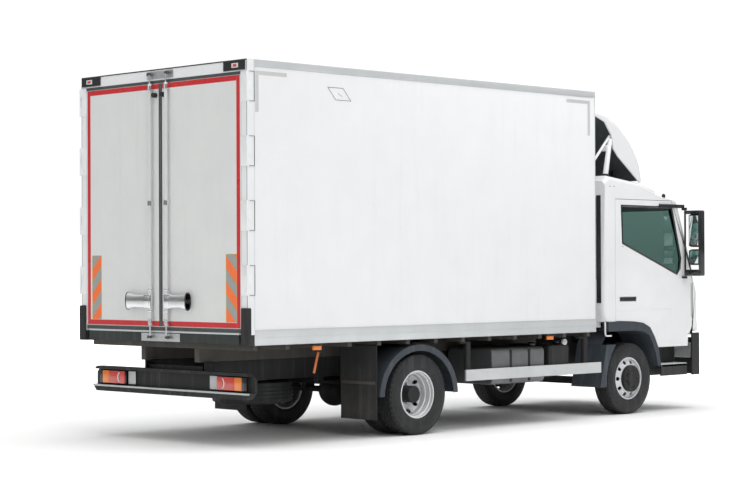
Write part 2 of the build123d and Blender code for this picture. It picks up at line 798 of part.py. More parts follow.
def on_screen(share, depth):
    top = Vector(brow_x + 34, brow_z - 45)
    low = Vector(cowl_x, cowl_z)
    along = top - low
    across = Vector(along.Y, -along.X).normalized()
    point = low + along * share - across * depth
    return (point.X, point.Y)


def screen_band(start, end):
    low, high = screen_low, screen_high
    return [on_screen(low, start), on_screen(high, start), on_screen(high, end), on_screen(low, end)]


def cab_shell():
    outer = prism("side", cab_outline(0), -cab_y, cab_y)
    inner = prism("side", cab_outline(skin_t), -cab_y + skin_t, cab_y - skin_t)
    shell = outer - inner
    inner_y = cab_y - skin_t
    shell = shell - block(cab_x0 - 1, cab_x1 - 150, -inner_y, inner_y, 700, cab_floor_z + cab_floor_t)
    shell = shell - block(pivot_x - 80, cab_x1 - 40, -cab_y + skin_t, cab_y - skin_t, 700, 1000)
    hole = prism("side", widened(door_out, swing_gap), -cab_y - 1, cab_y + 1)
    inside = cab_y - skin_t - swing_room
    middle = block(cab_x0, cab_x1, -inside, inside, 600, 2600)
    shell = shell - (hole - middle)
    arch = block(cab_x0 - 1, door_x1 + 6, -cab_y - 1, cab_y + 1, 700, flare_top + touch_gap)
    shell = shell - (arch - block(cab_x0 - 2, cab_x0 + skin_t, -900, 900, 600, 1100))
    screen = screen_band(-60, 90)
    shell = shell - prism("side", screen, -screen_y, screen_y)
    rear_window = block(cab_x0 - 1, cab_x0 + skin_t + 1, -880, 880, 1450, 2330)
    shell = shell - rear_window
    for side in (1, -1):
        lug = block(hinge_x - 15, door_x1 + 6, cab_y - 35, cab_y, 825, 847)
        lug = lug + block(door_x1 + 6, door_x1 + 36, cab_y - 35, cab_y, 825, 890)
        if side < 0:
            lug = mirror(lug, about=Plane.XZ)
        shell = shell + lug
        shell = shell - rod(hinge_x, side * hinge_y, pin_low_z - 1, door_pin_r + run_fit, 30)
        shell = shell - rod(hinge_x, side * hinge_y, 1560, door_pin_r + run_fit, pin_top_z - 1558)
        shell = shell - rod(hinge_x, side * hinge_y, 1560, pin_clear_r, pin_top_z - 18 - 1560)
    return [shell]


def cab_glass():
    screen = screen_band(4, 12)
    front = prism("side", screen, -screen_y, screen_y)
    rear = block(cab_x0 + 4, cab_x0 + 12, -880, 880, 1450, 2330)
    return [front, rear]


def cab_floor():
    half = cab_y - skin_t - flare_in - touch_gap
    top = cab_floor_z + cab_floor_t
    floor = block(cab_x0 + skin_t, cab_x1 - 155, -half, half, cab_floor_z, top)
    shapes = floor
    for side in (1, -1):
        for y in (arm_y0, arm_y1 - ear_t + 0.5):
            y0 = side * y if side > 0 else -y - ear_t + 0.5
            y1 = y0 + ear_t - 0.5
            lug = [(cab_x1 - 330, cab_floor_z), (pivot_x - 20, pivot_z - 22), (pivot_x + 22, pivot_z - 22),
                   (pivot_x + 22, pivot_z + 22), (cab_x1 - 180, cab_floor_z)]
            shapes = shapes + prism("side", lug, y0, y1)
        pin_y = arm_y0 if side > 0 else -arm_y1
        shapes = shapes + rod(pivot_x, pin_y, pivot_z, pivot_r, arm_y1 - arm_y0, "y")
    return [shapes]


def arch_flares():
    a = axle_fx
    top = [
        (cab_x0 + 41, flare_top), (a - 196, flare_top), (a + 66, 990), (a + 226, 972), (a + 340, 925), (a + 420, 820),
        (a + 490, 690), (a + 530, 500),
    ]
    under = [
        (a + 476, 500), (a + 436, 640), (a + 376, 760), (a + 316, 845), (a + 216, 885), (a + 66, 897),
        (cab_x0 + 41, 897),
    ]
    flare = prism("side", top + under, cab_y - skin_t - flare_in, cab_y + 12)
    return flare


def inner_arches():
    a = axle_fx
    line = [(a + 476, 500), (a + 436, 640), (a + 376, 760), (a + 316, 845), (a + 216, 885), (a + 66, 897),
            (a - 304, 897), (a - 402, 756), (a - 512, 307)]
    outer = [(x + 6 if x > a else x - 6, min(z + 6, cab_floor_z - touch_gap)) for x, z in line]
    skin = prism("side", line + outer[::-1], 600, cab_y - skin_t - flare_in)
    flap = prism("side", [(a - 402, 756), (a - 408, 756), (a - 518, 307), (a - 512, 307)],
                 cab_y - skin_t - flare_in, cab_y)
    side = [(a - 408, 756), (a - 250, 756), (a - 330, 640), (a - 385, 520), (a - 407, 420), (a - 412, 307),
            (a - 518, 307)]
    flange = prism("side", side, cab_y - flap_edge, cab_y)
    return skin + flap + flange


def wheel_arches():
    return both([arch_flares(), inner_arches()])


step_x0 = axle_fx + 546
step_x1 = door_x1 - 95


def cab_steps():
    y0 = cab_y - 170
    tread = block(step_x0, step_x1, y0, cab_y, 500, 512)
    box = block(step_x0, step_x1, cab_y - 20, cab_y, 386, 500)
    back = block(step_x0, step_x1, y0 - 8, y0, 386, cab_floor_z)
    step = tread + box + back
    return both([step, corner_tube()])


tube_bend = 32
corner_tube_r = 9


def corner_tube():
    x, y, low = cab_x0 + 14, cab_y - 14, 850
    path = Wire([
        Edge.make_line((x, y, flare_top), (x, y, low + tube_bend)),
        Edge.make_three_point_arc((x, y, low + tube_bend), (x + tube_bend * 0.293, y, low + tube_bend * 0.293),
                                  (x + tube_bend, y, low)),
        Edge.make_line((x + tube_bend, y, low), (x + 105, y, low)),
    ])
    return sweep(Plane(origin=(x, y, flare_top), z_dir=(0, 0, -1)) * Circle(corner_tube_r), path=path)


def dashboard():
    half = cab_y - skin_t - swing_room - touch_gap
    top = [(cab_x1 - 480, 1200), (cab_x1 - 500, 1380), (cab_x1 - 420, 1500), (cab_x1 - 180, 1500), (cab_x1 - 120, 1400),
           (cab_x1 - 120, 1200)]
    body = prism("side", top, -half, half)
    legs = both([block(cab_x1 - 300, cab_x1 - 180, half - 60, half, cab_floor_z + cab_floor_t, 1200)])
    column = bar(wheel_centre(-300), wheel_centre(-hub_l - touch_gap), 32)
    return [body + legs[0] + legs[1] + column]


wheel_y = 470
wheel_r = 215
wheel_grip = 16
wheel_tilt = 35
hub_l = 38


def wheel_centre(up):
    a = radians(wheel_tilt)
    return (cab_x1 - 570 - up * sin(a), wheel_y, 1600 + up * cos(a))


def steering_wheel():
    a = radians(wheel_tilt)
    plane = Plane(origin=wheel_centre(0), x_dir=(0, 1, 0), z_dir=(-sin(a), 0, cos(a)))
    hub = extrude(plane * Circle(55), amount=-hub_l)
    shape = plane * Pos(0, 0, 0) * Torus(wheel_r, wheel_grip)
    for i in range(3):
        turn = Rot(0, 0, 120 * i + 90)
        spoke = Pos(wheel_r / 2, 0, -8) * Box(wheel_r, 34, 12)
        shape = shape + plane * (turn * spoke)
    return shape + hub


seat_x0 = cab_x0 + 330
seat_w = 480
seat_z = 1240


def seats():
    floor = cab_floor_z + cab_floor_t
    shapes = []
    for y0, y1 in ((wheel_y - seat_w / 2, wheel_y + seat_w / 2), (-900, 120)):
        shapes.append(block(seat_x0 + 60, seat_x0 + 430, y0 + 60, y1 - 60, floor, seat_z))
        shapes.append(block(seat_x0 + 10, seat_x0 + 500, y0, y1, seat_z, seat_z + 110))
        back = [(seat_x0 - 110, seat_z + 640), (seat_x0 - 10, seat_z + 110), (seat_x0 + 110, seat_z + 110),
                (seat_x0 + 10, seat_z + 640)]
        shapes.append(prism("side", back, y0, y1))
    return shapes


wiper_y = [-120, 620]
wiper_l = 600
wiper_lift = 26


def wiper(y):
    point = on_screen(0.015, -wiper_lift)
    along = Vector(brow_x + 34 - cowl_x, 0, brow_z - 45 - cowl_z).normalized()
    out = Vector(along.Z, 0, -along.X)
    plane = Plane(origin=(point[0], y, point[1]), x_dir=(0, -1, 0), z_dir=out)
    hub = Cylinder(16, 2 * (wiper_lift - touch_gap))
    arm = Pos(wiper_l / 4, 0, 4) * Box(wiper_l / 2, 14, 8)
    blade = Pos(wiper_l * 0.62, 22, 10.5 - wiper_lift) * Box(wiper_l * 0.7, 9, 20)
    link = Pos(wiper_l / 2, 13, 0) * Box(30, 24, 16)
    return plane * (hub + arm + blade + link)


def spoiler_curve(inset):
    x = cab_x0
    return [
        (x - 35, 3255 - inset), (x + 125, 3233 - inset), (x + 365 - inset * 0.6, 3120 - inset * 0.8),
        (x + 585 - inset * 0.8, 2935 - inset * 0.7), (x + 735 - inset, 2730 - inset * 0.4), (x + 785 - inset, 2530),
    ]


spoiler_y = 900
spoiler_t = 24
strut_r = 32
tube_r = 15


def roof_spoiler():
    x = cab_x0
    skin = prism("side", spoiler_curve(0) + spoiler_curve(spoiler_t)[::-1], -spoiler_y, spoiler_y)
    back = [(x + 745, 2505), (x + 365, 2780), (x + 285, 2860), (x + 255, 3000), (x + 140, 3140), (x - 35, 3200)]
    cheek = prism("side", spoiler_curve(0) + back, spoiler_y - spoiler_t, spoiler_y)
    hood = skin + cheek + mirror(cheek, about=Plane.XZ)
    strut = bar((x + 110, spoiler_y + 12, roof_z - 60), (x + 268, spoiler_y - 38, 2962), strut_r)
    rim_tube = bar((x + 258, spoiler_y - 38, 2994), (x - 20, spoiler_y - 38, 2710), tube_r)
    leg = bar((x - 20, 700, 2710), (x + 70, 700, roof_z - 60), tube_r)
    tie = bar((x - 20, 0, 2710), (x - 20, spoiler_y - 38, 2710), tube_r)
    feet = block(x + 690, x + 730, 480, 540, roof_z - 125, 2655)
    roof_room = prism("side", cab_outline(-touch_gap), 0, cab_y)
    braces = strut + feet + rim_tube + leg + tie - roof_room
    hood = hood + braces + mirror(braces, about=Plane.XZ)
    return [hood]


# ---- cab doors, left one modelled and mirrored ----
axis_in = 45
hinge_x = door_x1 - axis_in
hinge_y = cab_y - 12
door_pin_r = 5
pin_low_z = 825
pin_top_z = 1640
pin_clear_r = 22       # room round the top pin for the edge of the leaf


def cab_door():
    leaf = prism("side", door_out, cab_y - skin_t, cab_y)
    leaf = leaf - prism("side", window_out, cab_y - skin_t - 1, cab_y + 1)
    recess = block(door_x0 + 70, door_x0 + 360, cab_y - 22, cab_y + 1, 1213, 1265)
    leaf = leaf - recess + rod(hinge_x, hinge_y, pin_low_z, door_pin_r, 60)
    leaf = leaf + rod(hinge_x, hinge_y, pin_top_z - 140, door_pin_r, 140)
    return [leaf] + mirror_brackets()


def mirror_brackets():
    y1 = mirror_axis_y + 16
    low = block(mirror_x - 16, mirror_x + 16, cab_y, y1, mirror_z0 - 16, mirror_z0 + 9)
    bar_z = mirror_z1 + 15
    rail_bar = block(door_x1 - 600, mirror_x + 16, cab_y + 3, cab_y + 18, bar_z, bar_z + 38)
    pad = block(door_x1 - 600, door_x1 - 400, cab_y, cab_y + 3, bar_z + 25, bar_z + 38)
    ear = block(mirror_x - 16, mirror_x + 16, cab_y + 3, y1, mirror_z1 - 9, bar_z + 5)
    bore = rod(mirror_x, mirror_axis_y, mirror_z0 - 20, mirror_pin_r + run_fit, mirror_z1 - mirror_z0 + 60)
    return [low - bore, rail_bar + pad + ear - bore]


def door_glass():
    return [prism("side", window_out, cab_y - 26, cab_y - 20)]


paddle_x0 = door_x0 + 77
paddle_l = 278


def door_handle():
    plate = block(paddle_x0, paddle_x0 + paddle_l, cab_y - 14, cab_y - 4, 1220, 1256)
    pin = rod(paddle_x0 - 7 + touch_gap, cab_y - 9, 1250, 3, paddle_l + 12 - touch_gap, "x")
    return [plate + pin]


mirror_x = door_x1 - 170
mirror_z0 = 1470
mirror_z1 = 2220
mirror_depth = 100
mirror_pin_r = 7
mirror_axis_y = cab_y + 38


def mirror_unit():
    y1 = mirror_y0 + mirror_w
    spine = rod(mirror_x, mirror_axis_y, mirror_z0 + 10, 11, mirror_z1 - mirror_z0 - 20)
    spine = spine + rod(mirror_x, mirror_axis_y, mirror_z0 - 14, mirror_pin_r, mirror_z1 - mirror_z0 + 30)
    low_arm = block(mirror_x, mirror_x + 40, mirror_axis_y, y1, mirror_z0 + 10, mirror_z0 + 85)
    top_arm = block(mirror_x, mirror_x + 40, mirror_axis_y, y1, mirror_z1 - 55, mirror_z1 - 10)
    main = block(mirror_x, mirror_x + mirror_depth, mirror_y0, y1, 1800, mirror_z1 - 50)
    wide = block(mirror_x, mirror_x + mirror_depth, mirror_y0, y1, 1600, 1780)
    post = block(mirror_x, mirror_x + mirror_depth, y1 - 30, y1, mirror_z0 + 10, mirror_z1 - 10)
    return [spine + low_arm + top_arm + main + wide + post]


# ---- bumper ----
lamp_y0 = 600
lamp_y1 = 880
bumper_z0 = 380
bumper_z1 = 790


def front_bumper():
    y = cab_y + 20
    x0 = door_x1 - 25
    outer = [(x0, -y), (bumper_x1 - 75, -y), (bumper_x1, -y + 90), (bumper_x1, y - 90), (bumper_x1 - 75, y), (x0, y)]
    t = 17
    inner = [(x0, y - t), (bumper_x1 - 82, y - t), (bumper_x1 - bumper_t, y - 97), (bumper_x1 - bumper_t, 97 - y),
             (bumper_x1 - 82, t - y), (x0, t - y)]
    shell = prism("plan", outer + inner, bumper_z0, 849)
    shell = shell - block(bumper_x1 - 76, bumper_x1 + 1, -y - 1, y + 1, bumper_z1, 850)
    shell = shell - block(x0 - 1, bumper_x1 - 20, -y + t, y - t, bumper_z1, 850)
    for side in (1, -1):
        pocket = block(bumper_x1 - 30, bumper_x1 + 1, lamp_y0, lamp_y1, 560, 730)
        tow = rod(bumper_x1 - 30, (arm_y0 + arm_y1) / 2, 640, 40, 35, "x")
        cut = pocket + tow
        shell = shell - (cut if side > 0 else mirror(cut, about=Plane.XZ))
    return [shell]


def headlamps():
    return both([block(bumper_x1 - 60, bumper_x1 - 6, lamp_y0, lamp_y1, 560, 730)])


# ---- write every sub-part ----
def place(shapes, x, y, side):
    placed = []
    for shape in shapes:
        moved = Pos(x, y, axle_z) * shape
        placed.append(moved if side > 0 else mirror(moved, about=Plane.XZ))
    return placed


def save_pair(name, shapes):
    save(name + "_left", shapes)
    save(name + "_right", mirrored(shapes))


def main():
    os.makedirs("parts", exist_ok=True)
    save("chassis_rails", both([rail()]))
    save("cross_members", cross_members())
    save("subframe_bearers", subframe_bearers())
    save("cab_mounts", cab_mounts())
    save("leaf_springs", both(leaf_spring(axle_rx) + leaf_spring(axle_fx)))
    save("front_axle_beam", front_axle_beam())
    save("rear_axle_housing", rear_axle_housing())
    save("engine_and_gearbox", engine_and_gearbox())
    save("propshaft", [propshaft()])
    save("fuel_tank", fuel_tank())
    save("battery_box", battery_box())
    save("exhaust", exhaust())
    save("box_floor", box_floor())
    save("box_panels", box_panels())
    save("box_edge_rails", box_edge_rails())
    save("rear_portal", rear_portal())
    save("corner_buffers", corner_buffers())
    save("marker_lamps", marker_lamps())
    save("underrun_bar", underrun_bar())
    save("tail_lamps", tail_lamps())
    save("side_guards", side_guards())
    save("rear_mudguards", rear_mudguards())
    save("spare_wheel", spare_wheel())
    save("front_bumper", front_bumper())
    save("headlamps", headlamps())
    save_pair("rear_door", rear_door())
    save_pair("door_hinges", door_hinges())
    save_pair("lock_rod", lock_rod())
    save_pair("steering_knuckle", [knuckle()])
    save("cab_shell", cab_shell())
    save("cab_glass", cab_glass())
    save("cab_floor", cab_floor())
    save("wheel_arches", wheel_arches())
    save("cab_steps", cab_steps())
    save("dashboard", dashboard())
    save("seats", seats())
    save("steering_wheel", [steering_wheel()])
    save("roof_spoiler", roof_spoiler())
    save("wiper_left", [wiper(wiper_y[1])])
    save("wiper_right", [wiper(wiper_y[0])])
    save_pair("cab_door", cab_door())
    save_pair("door_glass", door_glass())
    save_pair("door_handle", door_handle())
    save_pair("mirror", mirror_unit())
    tyre = tyre_ring(tyre_w)
    pair = [tyre, Pos(0, -dual_pitch, 0) * tyre]
    front_wheel = front_rim()
    rear_wheels = rear_rims()
    for name, side in (("_left", 1), ("_right", -1)):
        save("front_tyre" + name, place([tyre], axle_fx, front_track / 2, side))
        save("front_rim" + name, place(front_wheel, axle_fx, front_track / 2, side))
        save("rear_tyres" + name, place(pair, axle_rx, rear_track_out / 2, side))
        save("rear_rims" + name, place(rear_wheels, axle_rx, rear_track_out / 2, side))


main()
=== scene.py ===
import bpy
import bmesh
import json
import math
from mathutils import Matrix, Vector


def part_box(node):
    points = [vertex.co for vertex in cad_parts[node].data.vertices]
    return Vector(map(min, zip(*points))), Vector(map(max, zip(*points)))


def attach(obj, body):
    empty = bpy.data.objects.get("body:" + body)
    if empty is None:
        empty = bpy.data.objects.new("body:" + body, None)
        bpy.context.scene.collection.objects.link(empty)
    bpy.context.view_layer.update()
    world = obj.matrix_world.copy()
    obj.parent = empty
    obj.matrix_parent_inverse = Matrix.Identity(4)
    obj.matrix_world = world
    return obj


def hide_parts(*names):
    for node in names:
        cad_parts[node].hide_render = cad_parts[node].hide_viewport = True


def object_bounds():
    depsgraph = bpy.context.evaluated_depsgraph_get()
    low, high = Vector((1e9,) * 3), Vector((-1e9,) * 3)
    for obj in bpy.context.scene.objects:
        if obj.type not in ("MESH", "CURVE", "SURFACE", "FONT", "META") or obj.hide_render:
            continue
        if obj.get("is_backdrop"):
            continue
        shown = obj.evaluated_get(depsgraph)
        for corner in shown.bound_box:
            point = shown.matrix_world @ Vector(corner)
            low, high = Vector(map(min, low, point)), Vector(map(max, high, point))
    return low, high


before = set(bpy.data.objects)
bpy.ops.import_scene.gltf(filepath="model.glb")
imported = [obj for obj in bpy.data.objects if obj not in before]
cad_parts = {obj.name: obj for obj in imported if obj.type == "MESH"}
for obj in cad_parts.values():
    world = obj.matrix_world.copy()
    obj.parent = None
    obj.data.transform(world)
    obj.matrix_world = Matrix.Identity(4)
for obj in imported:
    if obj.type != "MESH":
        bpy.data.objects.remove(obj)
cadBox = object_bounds()
print("frame loaded")

rearFace = -3.4305        # outer face of the rear doors
cabLow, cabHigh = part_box("cab_shell")

# camera, light and floor, set before anything else
studio = {
    "cameraPlace": (-14.5835, -13.993, 1.585),
    "yaw": 45.18, "pitch": 0.525, "roll": -0.227,
    "lens": 93.70,
    "floorHalf": 60.0, "glow": 0.95, "glowStart": 5.0, "glowEnd": 13.0,
    "floorTone": (0.93, 0.93, 0.93),
    "skyTone": (0.985, 0.99, 0.985), "skyStrength": 0.8, "horizonStrength": 0.16, "backStrength": 1.05,
    "keyPlace": (-9.0, -16.0, 11.0), "keySize": 9.0, "keyPower": 330.0,
    "rearPlace": (-17.0, 3.0, 7.0), "rearSize": 7.0, "rearPower": 130.0,
    "topPlace": (0.0, -2.0, 13.0), "topSize": 16.0, "topPower": 1500.0,
}


def aimCamera():
    yaw, pitch, roll = (math.radians(studio[k]) for k in ("yaw", "pitch", "roll"))
    ahead = Vector((math.cos(yaw) * math.cos(pitch), math.sin(yaw) * math.cos(pitch), math.sin(pitch)))
    right = ahead.cross(Vector((0, 0, 1))).normalized()
    up = right.cross(ahead)
    tiltedRight = right * math.cos(roll) + up * math.sin(roll)
    tiltedUp = up * math.cos(roll) - right * math.sin(roll)
    turn = Matrix((tiltedRight, tiltedUp, -ahead)).transposed().to_4x4()
    data = bpy.data.cameras.new("studioCamera")
    data.lens = studio["lens"]
    data.sensor_width = 36.0
    data.clip_end = 400.0
    camera = bpy.data.objects.new("studioCamera", data)
    camera.matrix_world = Matrix.Translation(studio["cameraPlace"]) @ turn
    bpy.context.scene.collection.objects.link(camera)
    bpy.context.scene.camera = camera


def addLight(name, place, size, power, target=(0.0, 0.0, 1.5)):
    data = bpy.data.lights.new(name, "AREA")
    data.shape = "DISK"
    data.size = size
    data.energy = power
    light = bpy.data.objects.new(name, data)
    light.location = place
    light.rotation_euler = (Vector(place) - Vector(target)).to_track_quat("Z", "Y").to_euler()
    bpy.context.scene.collection.objects.link(light)


aimCamera()
for lamp in ("key", "rear", "top"):
    addLight(lamp + "Light", studio[lamp + "Place"], studio[lamp + "Size"], studio[lamp + "Power"])
sky = bpy.data.worlds.new("studioSky")
sky.use_nodes = True
sky.node_tree.nodes["Background"].inputs["Color"].default_value = (*studio["skyTone"], 1.0)
skyNodes, skyLinks = sky.node_tree.nodes, sky.node_tree.links
skyHeight = skyNodes.new("ShaderNodeSeparateXYZ")
skyLinks.new(skyNodes.new("ShaderNodeTexCoord").outputs["Generated"], skyHeight.inputs["Vector"])
skyRise = skyNodes.new("ShaderNodeMapRange")          # soft light comes from above, little from the horizon
for key, value in (("From Min", 0.0), ("From Max", 0.5), ("To Min", studio["horizonStrength"]),
                   ("To Max", studio["skyStrength"])):
    skyRise.inputs[key].default_value = value
skyLinks.new(skyHeight.outputs["Z"], skyRise.inputs["Value"])
skyLevel = skyNodes.new("ShaderNodeMix")
skyLinks.new(skyNodes.new("ShaderNodeLightPath").outputs["Is Camera Ray"], skyLevel.inputs["Factor"])
skyLinks.new(skyRise.outputs["Result"], skyLevel.inputs["A"])
skyLevel.inputs["B"].default_value = studio["backStrength"]
skyLinks.new(skyLevel.outputs["Result"], skyNodes["Background"].inputs["Strength"])
bpy.context.scene.world = sky
bpy.context.scene.view_settings.view_transform = "Standard"
print("camera and lights placed")


# shader tools
def addNode(tree, kind, values=None, **settings):
    made = tree.nodes.new("ShaderNode" + kind)
    for key, value in settings.items():
        setattr(made, key, value)
    for key, value in (values or {}).items():
        if isinstance(value, bpy.types.NodeSocket):
            tree.links.new(value, made.inputs[key])
        else:
            made.inputs[key].default_value = value
    return made


def maths(tree, operation, *values):
    made = addNode(tree, "Math", operation=operation)
    for index, value in enumerate(values):
        if isinstance(value, bpy.types.NodeSocket):
            tree.links.new(value, made.inputs[index])
        else:
            made.inputs[index].default_value = value
    return made.outputs[0]


def ramp(tree, value, low, high, toLow=0.0, toHigh=1.0):
    made = addNode(tree, "MapRange", {"Value": value, "From Min": low, "From Max": high}, clamp=True)
    made.inputs["To Min"].default_value = toLow
    made.inputs["To Max"].default_value = toHigh
    return made.outputs["Result"]


def newGroup(name, inputs, outputs):
    tree = bpy.data.node_groups.new(name, "ShaderNodeTree")
    for label, value in inputs.items():
        kind = "NodeSocketVector" if label == "Place" else "NodeSocketFloat"
        socket = tree.interface.new_socket(name=label, in_out="INPUT", socket_type=kind)
        if label != "Place":
            socket.default_value = value
    for label in outputs:
        tree.interface.new_socket(name=label, in_out="OUTPUT", socket_type="NodeSocketFloat")
    start = tree.nodes.new("NodeGroupInput")
    end = tree.nodes.new("NodeGroupOutput")
    return tree, start.outputs, end.inputs


def buildRoadDust():
    tree, given, wanted = newGroup("roadDust", {"Place": 0, "Reach": 1.0, "Amount": 0.5, "Size": 6.0}, ["Mask"])
    height = addNode(tree, "SeparateXYZ", {"Vector": given["Place"]}).outputs["Z"]
    share = maths(tree, "DIVIDE", height, given["Reach"])
    fall = ramp(tree, share, 0.0, 1.0, 1.0, 0.0)
    cloud = addNode(tree, "TexNoise", {"Vector": given["Place"], "Scale": given["Size"], "Detail": 6.0, "Roughness": 0.62})
    broken = ramp(tree, cloud.outputs["Fac"], 0.32, 0.68, 0.25, 1.0)
    low = maths(tree, "MULTIPLY", maths(tree, "POWER", fall, 1.6), broken)
    tree.links.new(maths(tree, "MULTIPLY", low, given["Amount"]), wanted["Mask"])
    return tree


def buildFineGrain():
    tree, given, wanted = newGroup("fineGrain", {"Place": 0, "Scale": 400.0, "Cells": 0.5}, ["Height", "Tone"])
    speck = addNode(tree, "TexNoise", {"Vector": given["Place"], "Scale": given["Scale"], "Detail": 3.0})
    pits = addNode(tree, "TexVoronoi", {"Vector": given["Place"], "Scale": given["Scale"]}, feature="F1")
    both = addNode(tree, "Mix", {"Factor": given["Cells"], "A": speck.outputs["Fac"], "B": pits.outputs["Distance"]},
                   data_type="FLOAT")
    cloud = addNode(tree, "TexNoise", {"Vector": given["Place"], "Scale": 2.6, "Detail": 5.0, "Roughness": 0.6})
    tree.links.new(both.outputs["Result"], wanted["Height"])
    tree.links.new(ramp(tree, cloud.outputs["Fac"], 0.3, 0.7), wanted["Tone"])
    return tree


def buildScuffs():
    tree, given, wanted = newGroup("scuffs", {"Place": 0, "Scale": 9.0, "Amount": 0.4}, ["Mask"])
    bent = addNode(tree, "TexNoise", {"Vector": given["Place"], "Scale": 3.0, "Detail": 2.0})
    moved = addNode(tree, "VectorMath", {0: given["Place"], 1: bent.outputs["Color"]}, operation="ADD")
    long = addNode(tree, "Mapping", {"Vector": moved.outputs["Vector"], "Scale": (0.6, 0.7, 9.0)})
    lines = addNode(tree, "TexNoise", {"Vector": long.outputs["Vector"], "Scale": given["Scale"], "Detail": 8.0,
                                       "Roughness": 0.7})
    thin = ramp(tree, maths(tree, "ABSOLUTE", maths(tree, "SUBTRACT", lines.outputs["Fac"], 0.5)), 0.0, 0.012, 1.0, 0.0)
    patch = addNode(tree, "TexNoise", {"Vector": given["Place"], "Scale": 1.7, "Detail": 4.0})
    kept = maths(tree, "MULTIPLY", thin, ramp(tree, patch.outputs["Fac"], 0.5, 0.66))
    tree.links.new(maths(tree, "MULTIPLY", kept, given["Amount"]), wanted["Mask"])
    return tree


def buildRainStreaks():
    tree, given, wanted = newGroup("rainStreaks", {"Place": 0, "Width": 14.0, "Amount": 0.3}, ["Mask"])
    drawn = addNode(tree, "Mapping", {"Vector": given["Place"], "Scale": (1.0, 1.0, 0.05)})
    lines = addNode(tree, "TexNoise", {"Vector": drawn.outputs["Vector"], "Scale": given["Width"], "Detail": 5.0,
                                       "Roughness": 0.7})
    cloud = addNode(tree, "TexNoise", {"Vector": given["Place"], "Scale": 1.1, "Detail": 3.0})
    mask = maths(tree, "MULTIPLY", ramp(tree, lines.outputs["Fac"], 0.5, 0.72), ramp(tree, cloud.outputs["Fac"], 0.35, 0.7))
    tree.links.new(maths(tree, "MULTIPLY", mask, given["Amount"]), wanted["Mask"])
    return tree


def buildSpangle():
    tree, given, wanted = newGroup("spangle", {"Place": 0, "Scale": 90.0}, ["Tone", "Height"])
    flakes = addNode(tree, "TexVoronoi", {"Vector": given["Place"], "Scale": given["Scale"]}, feature="F1")
    shade = addNode(tree, "SeparateColor", {"Color": flakes.outputs["Color"]})
    tree.links.new(shade.outputs["Red"], wanted["Tone"])
    tree.links.new(flakes.outputs["Distance"], wanted["Height"])
    return tree


def buildWeave():
    tree, given, wanted = newGroup("weave", {"Place": 0, "Scale": 420.0}, ["Tone", "Height"])
    across = addNode(tree, "TexWave", {"Vector": given["Place"], "Scale": given["Scale"], "Distortion": 0.6},
                     bands_direction="Y")
    along = addNode(tree, "TexWave", {"Vector": given["Place"], "Scale": given["Scale"], "Distortion": 0.6},
                    bands_direction="DIAGONAL")
    cloth = maths(tree, "MULTIPLY", across.outputs["Fac"], along.outputs["Fac"])
    fleck = addNode(tree, "TexNoise", {"Vector": given["Place"], "Scale": 60.0, "Detail": 4.0})
    tree.links.new(cloth, wanted["Height"])
    tree.links.new(ramp(tree, fleck.outputs["Fac"], 0.35, 0.65), wanted["Tone"])
    return tree


effects = {
    "dust": buildRoadDust(), "grain": buildFineGrain(), "scuffs": buildScuffs(),
    "streaks": buildRainStreaks(), "spangle": buildSpangle(), "weave": buildWeave(),
}
plainLook = {
    "base": (0.8, 0.8, 0.8), "second": None, "rough": (0.3, 0.42), "metal": 0.0, "coat": 0.0,
    "grain": 500.0, "cells": 0.3, "bump": 0.12, "dust": 0.25, "dustReach": 1.2, "dustTone": (0.36, 0.33, 0.29),
    "dustSize": 5.0, "streaks": 0.12, "streakTone": (0.45, 0.44, 0.41), "scuffs": 0.15, "scuffTone": (0.4, 0.4, 0.4),
    "spangle": 0.0, "spangleScale": 90.0, "depth": 0.0006, "specular": 0.5,
}


def mixColour(tree, factor, first, second):
    made = addNode(tree, "Mix", data_type="RGBA")
    tree.links.new(factor, made.inputs["Factor"])
    for socket, value in ((made.inputs[6], first), (made.inputs[7], second)):
        if isinstance(value, bpy.types.NodeSocket):
            tree.links.new(value, socket)
        else:
            socket.default_value = (*value, 1.0)
    return made.outputs[2]


def useEffect(tree, effect, **values):
    made = tree.nodes.new("ShaderNodeGroup")
    made.node_tree = effects[effect]
    for key, value in values.items():
        if isinstance(value, bpy.types.NodeSocket):
            tree.links.new(value, made.inputs[key])
        else:
            made.inputs[key].default_value = value
    return made.outputs


